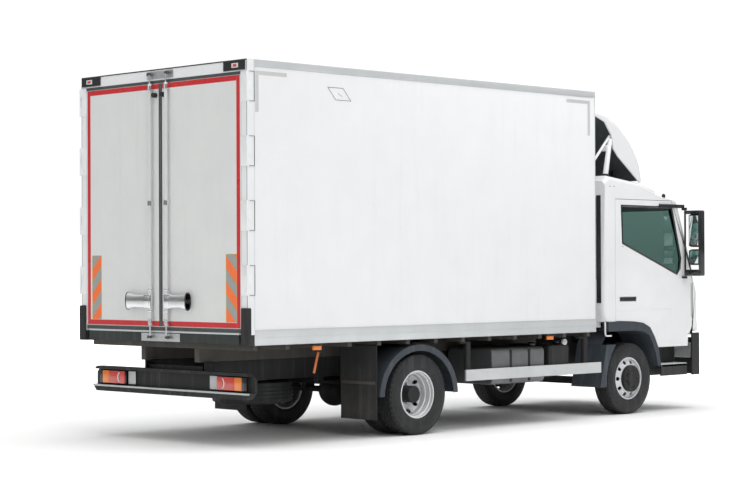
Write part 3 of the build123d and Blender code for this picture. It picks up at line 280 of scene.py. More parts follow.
def makeFinish(name, pattern=None, **changes):
    look = {**plainLook, **changes}
    material = bpy.data.materials.new(name)
    material.use_nodes = True
    tree = material.node_tree
    shader = tree.nodes["Principled BSDF"]
    place = tree.nodes.new("ShaderNodeTexCoord").outputs["Object"]
    grain = useEffect(tree, "grain", Place=place, Scale=look["grain"], Cells=look["cells"])
    second = look["second"] or tuple(c * 0.88 for c in look["base"])
    colour = mixColour(tree, grain["Tone"], look["base"], second)
    if pattern:
        colour = pattern(tree, place, colour)
    height = grain["Height"]
    if look["spangle"]:
        flakes = useEffect(tree, "spangle", Place=place, Scale=look["spangleScale"])
        bright = tuple(min(1.0, c * (1 + look["spangle"])) for c in look["base"])
        colour = mixColour(tree, maths(tree, "MULTIPLY", flakes["Tone"], 0.6), colour, bright)
    if look["streaks"]:
        streaks = useEffect(tree, "streaks", Place=place, Amount=look["streaks"])
        colour = mixColour(tree, streaks["Mask"], colour, look["streakTone"])
    scuffs = useEffect(tree, "scuffs", Place=place, Amount=look["scuffs"])
    colour = mixColour(tree, scuffs["Mask"], colour, look["scuffTone"])
    dust = useEffect(tree, "dust", Place=place, Reach=look["dustReach"], Amount=look["dust"], Size=look["dustSize"])
    colour = mixColour(tree, dust["Mask"], colour, look["dustTone"])
    tree.links.new(colour, shader.inputs["Base Color"])
    sheen = ramp(tree, grain["Tone"], 0.0, 1.0, look["rough"][0], look["rough"][1])
    rough = addNode(tree, "Mix", {"Factor": dust["Mask"], "A": sheen, "B": 0.85}, data_type="FLOAT")
    tree.links.new(rough.outputs["Result"], shader.inputs["Roughness"])
    bump = addNode(tree, "Bump", {"Height": height, "Strength": look["bump"], "Distance": look["depth"]})
    tree.links.new(bump.outputs["Normal"], shader.inputs["Normal"])
    shader.inputs["Metallic"].default_value = look["metal"]
    shader.inputs["Coat Weight"].default_value = look["coat"]
    shader.inputs["Coat Roughness"].default_value = 0.08
    shader.inputs["Specular IOR Level"].default_value = look["specular"]
    return material


def makeGlass(name, tint, rough=0.01, alpha=1.0, **changes):
    material = makeFinish(name, base=tint, second=tuple(c * 0.96 for c in tint), bump=0.02, grain=40.0, scuffs=0.02,
                          rough=(rough, rough + 0.03), **changes)
    shader = material.node_tree.nodes["Principled BSDF"]
    shader.inputs["Transmission Weight"].default_value = alpha
    shader.inputs["IOR"].default_value = 1.45
    return material


def diagonalBars(tree, place, colour):
    spot = addNode(tree, "SeparateXYZ", {"Vector": place})
    run = maths(tree, "ADD", spot.outputs["Z"], maths(tree, "ABSOLUTE", spot.outputs["Y"]))
    share = maths(tree, "FRACT", maths(tree, "MULTIPLY", run, 4.4))
    bar = ramp(tree, share, 0.49, 0.51)
    cells = addNode(tree, "TexVoronoi", {"Vector": place, "Scale": 260.0}, feature="DISTANCE_TO_EDGE")
    net = ramp(tree, cells.outputs["Distance"], 0.02, 0.06)
    orange = mixColour(tree, net, (0.75, 0.12, 0.02), (0.93, 0.19, 0.045))
    grey = mixColour(tree, net, (0.26, 0.27, 0.25), (0.34, 0.35, 0.33))
    return mixColour(tree, bar, orange, grey)


def honeycomb(dark):
    def paint(tree, place, colour):
        cells = addNode(tree, "TexVoronoi", {"Vector": place, "Scale": 240.0}, feature="DISTANCE_TO_EDGE")
        net = ramp(tree, cells.outputs["Distance"], 0.02, 0.07)
        return mixColour(tree, net, dark, colour)
    return paint


def lensRibs(tree, place, colour):
    ribs = addNode(tree, "TexWave", {"Vector": place, "Scale": 38.0, "Distortion": 0.0}, bands_direction="Y")
    return mixColour(tree, ramp(tree, ribs.outputs["Fac"], 0.0, 1.0, 0.0, 0.35), colour, (0.9, 0.3, 0.2))


looks = {
    "cabWhite": dict(base=(0.84, 0.85, 0.86), second=(0.8, 0.81, 0.82), rough=(0.16, 0.24), coat=0.6,
        bump=0.03, grain=900.0, dust=0.28, dustReach=1.5, streaks=0.06, scuffs=0.05),
    "panelWhite": dict(base=(0.83, 0.84, 0.85), second=(0.8, 0.81, 0.82), rough=(0.28, 0.4), bump=0.1,
        grain=160.0, dust=0.16, dustReach=1.6, streaks=0.1, scuffs=0.08),
    "doorWhite": dict(base=(0.72, 0.73, 0.72), second=(0.68, 0.69, 0.69), rough=(0.3, 0.42), bump=0.12,
        grain=220.0, dust=0.35, dustReach=1.9, streaks=0.22, scuffs=0.2),
    "chassisBlack": dict(base=(0.014, 0.015, 0.017), second=(0.026, 0.026, 0.027), rough=(0.42, 0.6),
        specular=0.2, bump=0.3, grain=240.0, dust=0.2, dustReach=1.0, dustTone=(0.09, 0.085, 0.08),
        scuffTone=(0.12, 0.12, 0.12)),
    "bearerBrown": dict(base=(0.06, 0.056, 0.05), second=(0.095, 0.086, 0.076), rough=(0.55, 0.75),
        specular=0.2, bump=0.4, grain=130.0, dust=0.3, dustTone=(0.12, 0.11, 0.1)),
    "frameBlack": dict(base=(0.022, 0.028, 0.028), second=(0.034, 0.042, 0.04), rough=(0.35, 0.5),
        specular=0.2, bump=0.15, dust=0.3, scuffTone=(0.2, 0.2, 0.2)),
    "aluminium": dict(base=(0.68, 0.7, 0.71), second=(0.6, 0.62, 0.63), rough=(0.34, 0.5), metal=0.85,
        bump=0.15, grain=600.0, dust=0.3, scuffs=0.3),
    "railSilver": dict(base=(0.66, 0.68, 0.69), second=(0.58, 0.6, 0.61), rough=(0.36, 0.5), metal=0.35,
        bump=0.15, grain=500.0, dust=0.25, scuffs=0.2),
    "galvanised": dict(base=(0.52, 0.54, 0.55), second=(0.44, 0.46, 0.47), rough=(0.34, 0.5), metal=0.9,
        bump=0.12, spangle=0.35, spangleScale=110.0, dust=0.25, scuffs=0.3),
    "chrome": dict(base=(0.82, 0.83, 0.84), second=(0.76, 0.77, 0.78), rough=(0.1, 0.2), metal=1.0,
        bump=0.03, dust=0.15, scuffs=0.2),
    "rubber": dict(base=(0.022, 0.022, 0.023), second=(0.035, 0.035, 0.036), rough=(0.6, 0.8),
        specular=0.2, bump=0.4, grain=320.0, dust=0.4, dustTone=(0.14, 0.13, 0.115),
        scuffTone=(0.1, 0.1, 0.1)),
    "tyreRubber": dict(base=(0.014, 0.015, 0.017), second=(0.024, 0.025, 0.027), rough=(0.42, 0.6),
        specular=0.3, bump=0.35, grain=420.0, dust=0.4, dustReach=0.9, dustTone=(0.07, 0.068, 0.065),
        scuffTone=(0.08, 0.08, 0.08)),
    "rimSilver": dict(base=(0.8, 0.81, 0.83), second=(0.68, 0.69, 0.71), rough=(0.26, 0.4), metal=0.25,
        bump=0.12, dust=0.3, dustReach=0.8, dustTone=(0.32, 0.3, 0.28), scuffs=0.25),
    "archPlastic": dict(base=(0.036, 0.046, 0.058), second=(0.05, 0.06, 0.072), rough=(0.45, 0.6),
        specular=0.3, bump=0.45, grain=700.0, cells=0.8, dust=0.2, dustTone=(0.12, 0.12, 0.12),
        scuffTone=(0.25, 0.26, 0.28)),
    "blackPlastic": dict(base=(0.02, 0.021, 0.023), second=(0.03, 0.031, 0.033), rough=(0.4, 0.55),
        specular=0.2, bump=0.4, grain=800.0, cells=0.8, dust=0.3, dustTone=(0.14, 0.13, 0.12),
        scuffTone=(0.12, 0.12, 0.12)),
    "glossBlack": dict(base=(0.012, 0.013, 0.014), rough=(0.08, 0.16), coat=0.5, bump=0.02, dust=0.1,
        scuffTone=(0.1, 0.1, 0.1)),
    "tankGrey": dict(base=(0.2, 0.21, 0.215), second=(0.15, 0.155, 0.16), rough=(0.35, 0.5), metal=0.6,
        bump=0.15, grain=500.0, dust=0.35, dustTone=(0.16, 0.15, 0.14), scuffs=0.3),
    "rodGrey": dict(base=(0.74, 0.75, 0.75), second=(0.66, 0.67, 0.67), rough=(0.3, 0.42), metal=0.2,
        bump=0.08, dust=0.2, scuffs=0.25),
    "paleBlue": dict(base=(0.5, 0.6, 0.66), rough=(0.4, 0.5), dust=0.0),
    "sealGrey": dict(base=(0.055, 0.065, 0.065), second=(0.08, 0.088, 0.088), rough=(0.55, 0.7),
        specular=0.2, bump=0.3, grain=300.0, dust=0.3),
    "seatCloth": dict(base=(0.06, 0.065, 0.075), rough=(0.8, 0.95), dust=0.0, streaks=0.0),
    "dashPlastic": dict(base=(0.06, 0.063, 0.068), second=(0.075, 0.078, 0.083), rough=(0.5, 0.65),
        bump=0.45, grain=900.0, cells=0.9, dust=0.0, streaks=0.0),
    "castIron": dict(base=(0.07, 0.07, 0.07), second=(0.12, 0.1, 0.085), rough=(0.55, 0.75), metal=0.3,
        specular=0.2, bump=0.7, grain=90.0, dust=0.5, dustTone=(0.16, 0.14, 0.12)),
    "redMark": dict(pattern=honeycomb((0.3, 0.01, 0.01)), base=(0.68, 0.022, 0.03),
        second=(0.6, 0.02, 0.028), rough=(0.25, 0.35), bump=0.05, dust=0.12, streaks=0.1),
    "greyMark": dict(pattern=honeycomb((0.5, 0.5, 0.5)), base=(0.62, 0.63, 0.63), rough=(0.3, 0.4),
        bump=0.05, dust=0.1),
    "barMark": dict(pattern=diagonalBars, base=(0.8, 0.3, 0.1), rough=(0.3, 0.4), bump=0.05, dust=0.2),
    "limeEdge": dict(base=(0.62, 0.72, 0.12), second=(0.55, 0.63, 0.12), rough=(0.4, 0.5), dust=0.2),
    "redLens": dict(pattern=lensRibs, base=(0.55, 0.012, 0.015), rough=(0.08, 0.14), coat=0.7, bump=0.05,
        dust=0.1, streaks=0.05),
    "orangeLens": dict(base=(0.85, 0.22, 0.02), second=(0.75, 0.18, 0.02), rough=(0.08, 0.14), coat=0.7,
        bump=0.05, dust=0.1, streaks=0.05),
    "clearLens": dict(base=(0.72, 0.73, 0.74), second=(0.6, 0.62, 0.64), rough=(0.06, 0.12), coat=0.8,
        bump=0.05, dust=0.1),
    "plateSilver": dict(base=(0.6, 0.62, 0.63), rough=(0.3, 0.4), metal=0.5, dust=0.3),
    "strapOrange": dict(base=(0.6, 0.16, 0.03), second=(0.5, 0.13, 0.03), rough=(0.7, 0.85), bump=0.5,
        grain=350.0, dust=0.35),
    "mirrorGlass": dict(base=(0.75, 0.82, 0.82), second=(0.72, 0.79, 0.79), rough=(0.02, 0.05), metal=1.0,
        bump=0.01, dust=0.05, scuffs=0.02),
}
finishes = {name: makeFinish(name, **look) for name, look in looks.items()}
finishes["teal"] = makeGlass("teal", (0.66, 0.93, 0.87), dust=0.12, dustReach=2.6, dustTone=(0.6, 0.62, 0.6), streaks=0.03)


def addClothWeave():
    tree = finishes["seatCloth"].node_tree
    shader = tree.nodes["Principled BSDF"]
    place = tree.nodes.new("ShaderNodeTexCoord").outputs["Object"]
    weave = useEffect(tree, "weave", Place=place)
    colour = mixColour(tree, weave["Tone"], (0.05, 0.055, 0.066), (0.1, 0.105, 0.12))
    tree.links.new(colour, shader.inputs["Base Color"])
    bump = addNode(tree, "Bump", {"Height": weave["Height"], "Strength": 0.6, "Distance": 0.0008})
    tree.links.new(bump.outputs["Normal"], shader.inputs["Normal"])
    shader.inputs["Sheen Weight"].default_value = 0.3


addClothWeave()
print("finishes made:", len(finishes))


# mesh tools
def finishPiece(name, bm, mats, body, replaced=(), angle=32.0):
    mesh = bpy.data.meshes.new(name)
    bm.to_mesh(mesh)
    bm.free()
    for entry in mats:
        mesh.materials.append(finishes[entry])
    mesh.shade_smooth()
    mesh.set_sharp_from_angle(angle=math.radians(angle))
    piece = bpy.data.objects.new(name, mesh)
    bpy.context.scene.collection.objects.link(piece)
    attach(piece, body)
    if replaced:
        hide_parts(*replaced)
    return piece


def roundEdges(piece, width, segments=2, angle=30.0):
    bevel = piece.modifiers.new("edges", "BEVEL")
    bevel.width = width
    bevel.segments = segments
    bevel.limit_method = "ANGLE"
    bevel.angle_limit = math.radians(angle)
    bevel.use_clamp_overlap = True
    bevel.harden_normals = True
    return piece


def islandsOf(bm):
    left = set(bm.faces)
    while left:
        group, edge = [], [left.pop()]
        while edge:
            face = edge.pop()
            group.append(face)
            for side in face.edges:
                for near in side.link_faces:
                    if near in left:
                        left.discard(near)
                        edge.append(near)
        yield group


def reach(faces):
    spots = [v.co for f in faces for v in f.verts]
    return (Vector(min(s[i] for s in spots) for i in range(3)), Vector(max(s[i] for s in spots) for i in range(3)))


def cadMesh(nodeName):
    bm = bmesh.new()
    bm.from_mesh(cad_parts[nodeName].data)
    bmesh.ops.remove_doubles(bm, verts=bm.verts, dist=0.00002)
    bmesh.ops.dissolve_limit(bm, angle_limit=math.radians(1.0), verts=bm.verts, edges=bm.edges)
    return bm


def cadCopy(nodeName, body, mats, choose=None, width=0.002, segments=2, rounds=(), angle=30.0, cuts=(),
            paint=None):
    bm = cadMesh(nodeName)
    for place, across in cuts:
        bmesh.ops.bisect_plane(bm, geom=bm.verts[:] + bm.edges[:] + bm.faces[:], plane_co=place, plane_no=across,
                               dist=0.00001)
    for pick, size, steps in rounds:
        chosen = [e for e in bm.edges if len(e.link_faces) == 2 and pick(e)]
        bmesh.ops.bevel(bm, geom=chosen, offset=size, segments=steps, profile=0.5, affect="EDGES", material=-1)
    if choose:
        for island in islandsOf(bm):
            low, high = reach(island)
            index = choose(low, high)
            for face in island:
                face.material_index = index
    if paint:
        for face in bm.faces:
            face.material_index = paint(face.calc_center_median(), face.normal)
    piece = finishPiece(nodeName + "_look", bm, mats, body, [nodeName])
    if width:
        roundEdges(piece, width, segments, angle)
    return piece


def dress(nodeName, finish, width=0.0015, segments=2, angle=30.0):
    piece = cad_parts[nodeName]
    piece.data.materials.clear()
    piece.data.materials.append(finishes[finish])
    piece.data.shade_smooth()
    weld = piece.modifiers.new("weld", "WELD")
    weld.merge_threshold = 0.00002
    flat = piece.modifiers.new("flat", "DECIMATE")
    flat.decimate_type = "DISSOLVE"
    flat.angle_limit = math.radians(1.0)
    if width:
        roundEdges(piece, width, segments, angle)
    else:
        split = piece.modifiers.new("edges", "EDGE_SPLIT")
        split.split_angle = math.radians(angle)
    return piece


def addSlab(bm, low, high, edge=0.002, steps=2, index=0):
    low, high = Vector(low), Vector(high)
    made = bmesh.ops.create_cube(bm, size=1.0)
    bmesh.ops.scale(bm, vec=high - low, verts=made["verts"])
    bmesh.ops.translate(bm, vec=(low + high) / 2, verts=made["verts"])
    faces = {f for v in made["verts"] for f in v.link_faces}
    for face in faces:
        face.material_index = index
    if edge:
        sides = {e for v in made["verts"] for e in v.link_edges}
        bmesh.ops.bevel(bm, geom=list(sides), offset=edge, segments=steps, profile=0.5, affect="EDGES", material=-1)


def addRod(bm, start, end, radius, radiusEnd=None, sides=20, index=0, edge=0.0):
    start, end = Vector(start), Vector(end)
    turn = (end - start).to_track_quat("Z", "Y").to_matrix().to_4x4()
    made = bmesh.ops.create_cone(bm, cap_ends=True, segments=sides, radius1=radius,
                                 radius2=radius if radiusEnd is None else radiusEnd, depth=(end - start).length,
                                 matrix=Matrix.Translation((start + end) / 2) @ turn)
    faces = {f for v in made["verts"] for f in v.link_faces}
    for face in faces:
        face.material_index = index
    if edge:
        rims = {e for f in faces if len(f.verts) == sides for e in f.edges}
        bmesh.ops.bevel(bm, geom=list(rims), offset=edge, segments=2, profile=0.5, affect="EDGES", material=-1)


def addFloor():
    bm = bmesh.new()
    bmesh.ops.create_grid(bm, x_segments=1, y_segments=1, size=studio["floorHalf"])
    mesh = bpy.data.meshes.new("studioFloor")
    bm.to_mesh(mesh)
    bm.free()
    floor = bpy.data.objects.new("studioFloor", mesh)
    material = bpy.data.materials.new("studioFloor")
    material.use_nodes = True
    shader = material.node_tree.nodes["Principled BSDF"]
    shader.inputs["Base Color"].default_value = (*studio["floorTone"], 1.0)
    shader.inputs["Roughness"].default_value = 0.9
    shader.inputs["Specular IOR Level"].default_value = 0.1
    tree = material.node_tree
    spot = tree.nodes.new("ShaderNodeTexCoord").outputs["Object"]
    away = addNode(tree, "VectorMath", {0: spot}, operation="LENGTH").outputs["Value"]
    glow = ramp(tree, away, studio["glowStart"], studio["glowEnd"], 0.0, 1.0)
    seen = maths(tree, "MULTIPLY", glow, tree.nodes.new("ShaderNodeLightPath").outputs["Is Camera Ray"])
    tree.links.new(mixColour(tree, seen, (0.0, 0.0, 0.0), (1.0, 1.0, 1.0)), shader.inputs["Emission Color"])
    shader.inputs["Emission Strength"].default_value = studio["glow"]
    mesh.materials.append(material)
    bpy.context.scene.collection.objects.link(floor)
    floor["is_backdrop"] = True


addFloor()
print("tools ready")

sides = (("left", 1), ("right", -1))


# frame, axles and the parts that hang on them
for nodeName, finishName, edge in (
    ("box_panels", "panelWhite", 0.002), ("box_floor", "bearerBrown", 0.002), ("subframe_bearers", "bearerBrown", 0.003),
    ("chassis_rails", "chassisBlack", 0.004), ("cross_members", "chassisBlack", 0.003),
    ("cab_mounts", "chassisBlack", 0.004), ("leaf_springs", "chassisBlack", 0.002),
    ("front_axle_beam", "chassisBlack", 0.005), ("rear_axle_housing", "chassisBlack", 0.004),
    ("propshaft", "chassisBlack", 0.003), ("engine_and_gearbox", "castIron", 0.006),
    ("corner_buffers", "rubber", 0.012), ("cab_floor", "chassisBlack", 0.003), ("dashboard", "dashPlastic", 0.012),
    ("steering_wheel", "blackPlastic", 0.0), ("cab_glass", "teal", 0.0), ("wiper_left", "blackPlastic", 0.001),
    ("wiper_right", "blackPlastic", 0.001), ("steering_knuckle_left", "castIron", 0.003),
    ("steering_knuckle_right", "castIron", 0.003), ("door_glass_left", "teal", 0.0), ("door_glass_right", "teal", 0.0),
    ("door_hinges_left", "cabWhite", 0.001), ("door_hinges_right", "cabWhite", 0.001),
    ("box_edge_rails", "railSilver", 0.002), ("door_handle_left", "blackPlastic", 0.003),
    ("door_handle_right", "blackPlastic", 0.003),
):
    dress(nodeName, finishName, edge)
print("plain nodes dressed")


def portalPaint(spot, facing):
    if spot.x < -3.4352 and abs(spot.y) < 1.0:
        return 3
    if spot.z < 1.0045:
        return 1
    if spot.z < 1.0205 and abs(spot.y) < 1.0855:
        return 2
    return 3 if spot.x < -3.4306 and abs(spot.y) < 1.0 else 0


cadCopy("rear_portal", "chassis", ["cabWhite", "frameBlack", "railSilver", "galvanised"], None, 0.003,
        cuts=(((0, 0, 1.0048), (0, 0, 1)),), paint=portalPaint)


def lampPart(low, high):
    if low.z > 3.0:
        return 1
    return 2 if high.z - low.z < 0.03 else 0


cadCopy("marker_lamps", "chassis", ["orangeLens", "glossBlack", "blackPlastic"], lampPart, 0.006, 3)


def guardPart(low, high):
    return 0 if high.z < 0.62 else 1


cadCopy("side_guards", "chassis", ["railSilver", "chassisBlack"], guardPart, 0.004)


def mudPart(low, high):
    if high.x - low.x < 0.005 and low.x < -1.82:
        return 2
    if low.z < 0.2:
        return 1
    if high.z - low.z < 0.03:
        return 3
    return 1 if high.x - low.x < 0.02 else 0


cadCopy("rear_mudguards", "chassis", ["archPlastic", "rubber", "castIron", "chassisBlack"], mudPart,
        0.002)


def tankPart(low, high):
    if low.z > 0.77:
        return 2
    if high.y - low.y < 0.1 or abs(high.y) < 0.43:
        return 1
    return 0 if low.x < -0.1 else 3


cadCopy("fuel_tank", "chassis", ["tankGrey", "chassisBlack", "glossBlack", "blackPlastic"], tankPart, 0.02, 4)
cadCopy("battery_box", "chassis", ["blackPlastic"], None, 0.01, 3)
cadCopy("exhaust", "chassis", ["galvanised"], None, 0.01, 3)
cadCopy("underrun_bar", "chassis", ["chassisBlack", "plateSilver"], None, 0.005, 3,
        cuts=(((0, 0, 0.4735), (0, 0, 1)),),
        paint=lambda spot, facing: 1 if spot.x < -3.3502 and 0.4735 < spot.z < 0.487 and abs(spot.y) < 0.27 else 0)
cadCopy("headlamps", "chassis", ["clearLens"], None, 0.014, 4)
cadCopy("wheel_arches", "cab", ["archPlastic"], None, 0.004, 3)
print("frame parts dressed")


# rear doors
doorLook = {
    "markEdge": 1.105, "markWidth": 0.046, "sealHalf": 0.024, "markTop": 3.2735, "markLow": 1.0625, "markThick": 0.0008,
    "barLow": 1.112, "barHigh": 1.71, "barNear": 0.892, "barFar": 1.034,
    "rodRadius": 0.0165, "tipRadius": 0.0095,
}


def rearDoorPart(low, high):
    if high.y - low.y > 0.9 and high.z - low.z > 1.0:
        return 0
    if low.x > -3.43:
        return 1
    return 2 if high.z - low.z < 0.045 and min(abs(low.y), abs(high.y)) < 0.06 else 3


def addMarks(side, sign):
    bm = bmesh.new()
    x0, x1 = rearFace - doorLook["markThick"], rearFace - 0.00015
    far, wide = doorLook["markEdge"], doorLook["markWidth"]

    def strip(near, end, low, high, index):
        ys = sorted((sign * near, sign * end))
        addSlab(bm, (x0, ys[0], low), (x1, ys[1], high), 0.0003, 1, index)

    strip(far - wide, far, doorLook["markLow"], doorLook["markTop"], 0)
    strip(doorLook["sealHalf"], far - wide - 0.001, doorLook["markTop"] - wide, doorLook["markTop"], 0)
    strip(doorLook["sealHalf"], far - wide - 0.001, doorLook["markLow"], doorLook["markLow"] + wide, 0)
    strip(0.002, doorLook["sealHalf"], doorLook["markLow"], doorLook["markTop"], 3)
    near, out, low, high = doorLook["barNear"], doorLook["barFar"], doorLook["barLow"], doorLook["barHigh"]
    if sign < 0:
        near, out = near + 0.022, out + 0.022
    strip(near, out, low, high, 1)
    for a, b, c, d in ((near - 0.004, near - 0.0002, low, high), (out + 0.0002, out + 0.004, low, high),
                       (near - 0.004, out + 0.004, high + 0.0002, high + 0.004)):
        strip(a, b, c, d, 2)
    finishPiece("door_marks_" + side, bm, ["redMark", "barMark", "limeEdge", "sealGrey"], "rear_door_" + side)


def loftRings(bm, rings, index=0):
    loops = []
    for place, wide, tall, power in rings:
        verts = []
        for step in range(20):
            turn = 2 * math.pi * step / 20
            c, s = math.cos(turn), math.sin(turn)
            offset = Vector((math.copysign(abs(c) ** power, c) * wide, 0.0, math.copysign(abs(s) ** power, s) * tall))
            verts.append(bm.verts.new(Vector(place) + offset))
        loops.append([bm.edges.new((verts[i], verts[(i + 1) % 20])) for i in range(20)])
    made = []
    for first, second in zip(loops, loops[1:]):
        made += bmesh.ops.bridge_loops(bm, edges=first + second)["faces"]
    for face in made:
        face.material_index = index
    return loops, made


def addLockRod(side, sign):
    rodLow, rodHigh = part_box("lock_rod_" + side)
    x, y = -3.4605, sign * 0.117
    bm = bmesh.new()
    r, tip = doorLook["rodRadius"], doorLook["tipRadius"]
    addRod(bm, (x, y, 1.082), (x, y, 3.261), r, sides=24, index=0)
    addRod(bm, (x, y, rodLow.z + 0.002), (x, y, 1.082), tip, sides=16, index=1)
    addRod(bm, (x, y, 3.261), (x, y, rodHigh.z - 0.002), tip, sides=16, index=1)
    for z in (0.9625, 3.365):
        out = sorted((y - sign * 0.012, y + sign * 0.04))
        addSlab(bm, (x - 0.009, out[0], z - 0.0135), (x + 0.009, out[1], z + 0.0135), 0.004, 2, 2)
        addRod(bm, (x - 0.004, y, z), (x - 0.016, y, z), 0.008, sides=6, index=2)
    for z in (1.19, 1.385):
        addRod(bm, (x, y, z), (x, y, z + 0.02), r + 0.005, sides=24, index=1, edge=0.002)
    hub = sorted((y - sign * 0.02, y + sign * 0.075))
    addSlab(bm, (x - 0.022, hub[0], 1.225), (x + 0.017, hub[1], 1.355), 0.008, 3, 1)
    inner = sorted((y - sign * 0.005, y + sign * 0.058))
    addSlab(bm, (x - 0.0265, inner[0], 1.245), (x - 0.02, inner[1], 1.335), 0.002, 2, 1)
    bm.normal_update()
    stations = ((0.06, 0.0185, 0.060, 0.55, 0.0), (0.14, 0.0185, 0.058, 0.55, 0.0), (0.2, 0.022, 0.060, 0.6, -0.002),
                (0.25, 0.027, 0.066, 0.65, -0.005), (0.29, 0.0305, 0.075, 0.75, -0.007), (0.318, 0.0325, 0.082, 0.8, -0.0085))
    outer = [((x - 0.0025 + shift, y + sign * out, 1.29), wide, tall, power) for out, wide, tall, power, shift in stations]
    mouth = [((x - 0.0025 + shift, y + sign * (out - inset), 1.29), wide - 0.005, tall - 0.006, power)
             for (out, wide, tall, power, shift), inset in zip(stations[::-1][:4], (0.0, 0.012, 0.012, 0.01))]
    loops, faces = loftRings(bm, outer + mouth, 1)
    for loop in (loops[0], loops[-1]):
        cap = bmesh.ops.holes_fill(bm, edges=loop, sides=0)["faces"]
        for face in cap:
            face.material_index = 3 if loop is loops[-1] else 1
    shell = [f for f in bm.faces]
    bmesh.ops.recalc_face_normals(bm, faces=shell)
    addRod(bm, (x - 0.014, y + sign * 0.262, 1.29), (x + 0.014, y + sign * 0.262, 1.29), 0.016, sides=16, index=2)
    ring = [((x - 0.0105, y + sign * out, 1.29), 0.0325 + grow, 0.082 + grow, 0.8)
            for out, grow in ((0.309, -0.003), (0.3095, 0.0012), (0.3195, 0.0012), (0.3197, -0.004))]
    edge, faces = loftRings(bm, ring, 3)
    bmesh.ops.bridge_loops(bm, edges=edge[0] + edge[-1])
    for z in (1.082, 3.262):
        bmesh.ops.create_uvsphere(bm, u_segments=20, v_segments=12, radius=0.019, matrix=Matrix.Translation((x, y, z)))
    finishPiece("lock_rod_" + side + "_look", bm, ["rodGrey", "chrome", "castIron", "glossBlack"], "lock_" + side,
                ["lock_rod_" + side], 38.0)


for side, sign in sides:
    cadCopy("rear_door_" + side, "rear_door_" + side, ["doorWhite", "sealGrey", "rubber", "chrome"],
            rearDoorPart, 0.003)
    addMarks(side, sign)
    addLockRod(side, sign)
print("rear doors made")


# trim on the box
def addBoxTrim():
    bm = bmesh.new()
    addSlab(bm, (rearFace - 0.003, -1.195, 3.3985), (rearFace + 0.06, 1.195, 3.4095), 0.001, 1, 0)
    addSlab(bm, (rearFace - 0.0012, -1.116, 3.278), (rearFace - 0.0001, 1.116, 3.3045), 0.0004, 1, 3)
    addSlab(bm, (rearFace - 0.0012, -1.116, 1.0215), (rearFace - 0.0001, 1.116, 1.0555), 0.0004, 1, 3)
    for low, high in ((-1.199, -1.194), (1.194, 1.199)):
        addSlab(bm, (rearFace - 0.0012, low, 0.93), (rearFace + 0.01, high, 3.404), 0.001, 1, 0)
    for sign in (1, -1):
        for near, end, index, z0, z1, x0 in ((1.012, 1.1, 2, 3.338, 3.378, -3.4475), (1.032, 1.08, 1, 3.346, 3.37, -3.4505)):
            ys = sorted((sign * near, sign * end))
            addSlab(bm, (x0, ys[0], z0), (-3.4435, ys[1], z1), 0.002, 3, index)
    finishPiece("rear_trim", bm, ["frameBlack", "redLens", "clearLens", "sealGrey"], "chassis")
    bm = bmesh.new()
    for sign in (1, -1):
        ys = sorted((sign * 1.1951, sign * 1.1957))
        for x0, x1, z0, z1 in ((-3.332, -2.96, 3.276, 3.311), (-3.332, -3.292, 2.95, 3.2755),
                               (0.91, 1.29, 3.276, 3.311), (1.25, 1.29, 2.95, 3.2755)):
            addSlab(bm, (x0, ys[0], z0), (x1, ys[1], z1), 0.0002, 1, 0)
        ys = sorted((sign * 1.2001, sign * 1.203))
        for z in (0.9125, 0.976, 1.0405):
            addSlab(bm, (-3.349, ys[0], z), (1.369, ys[1], z + 0.004), 0.001, 1, 1)
        ys = sorted((sign * 1.1951, sign * 1.199))
        for x in (-3.3496, 1.365):
            addSlab(bm, (x, ys[0], 1.046), (x + 0.006, ys[1], 3.345), 0.001, 1, 1)
        for z in range(4):
            foot = 1.348 + 0.564 * z
            for low, high, wide in ((foot, foot + 0.004, 0.06), (foot + 0.26, foot + 0.264, 0.06), (foot, foot + 0.264, 0.004)):
                addSlab(bm, (-3.3455 - wide, ys[0] + sign * 0.0052, low), (-3.3455, ys[1] + sign * 0.0052, high), 0.0005, 1, 2)
    finishPiece("side_trim", bm, ["greyMark", "railSilver", "sealGrey"], "chassis")
    bm = bmesh.new()
    corners = [(-2.46, 3.22), (-2.27, 3.22), (-2.17, 3.11), (-2.36, 3.11)]
    for sign in (1, -1):
        for start, end in zip(corners, corners[1:] + corners[:1]):
            addRod(bm, (start[0], sign * 1.1953, start[1]), (end[0], sign * 1.1953, end[1]), 0.0022, sides=8)
        for share in (0.3, 0.6):
            spot = Vector((-2.36 + share * 0.1, sign * 1.1953, 3.19 - share * 0.05))
            addRod(bm, spot, spot + Vector((0.02, 0, -0.02)), 0.0016, sides=8)
    finishPiece("vent_outline", bm, ["sealGrey"], "chassis")


addBoxTrim()
print("box trim made")


# tail lamps
tailLook = {
    "face": -3.3388, "back": -3.298, "low": 0.5, "high": 0.631,
    "cells": ((0.668, 0.745, 1), (0.747, 0.905, 1), (0.907, 1.005, 2), (1.007, 1.046, 0)),
}


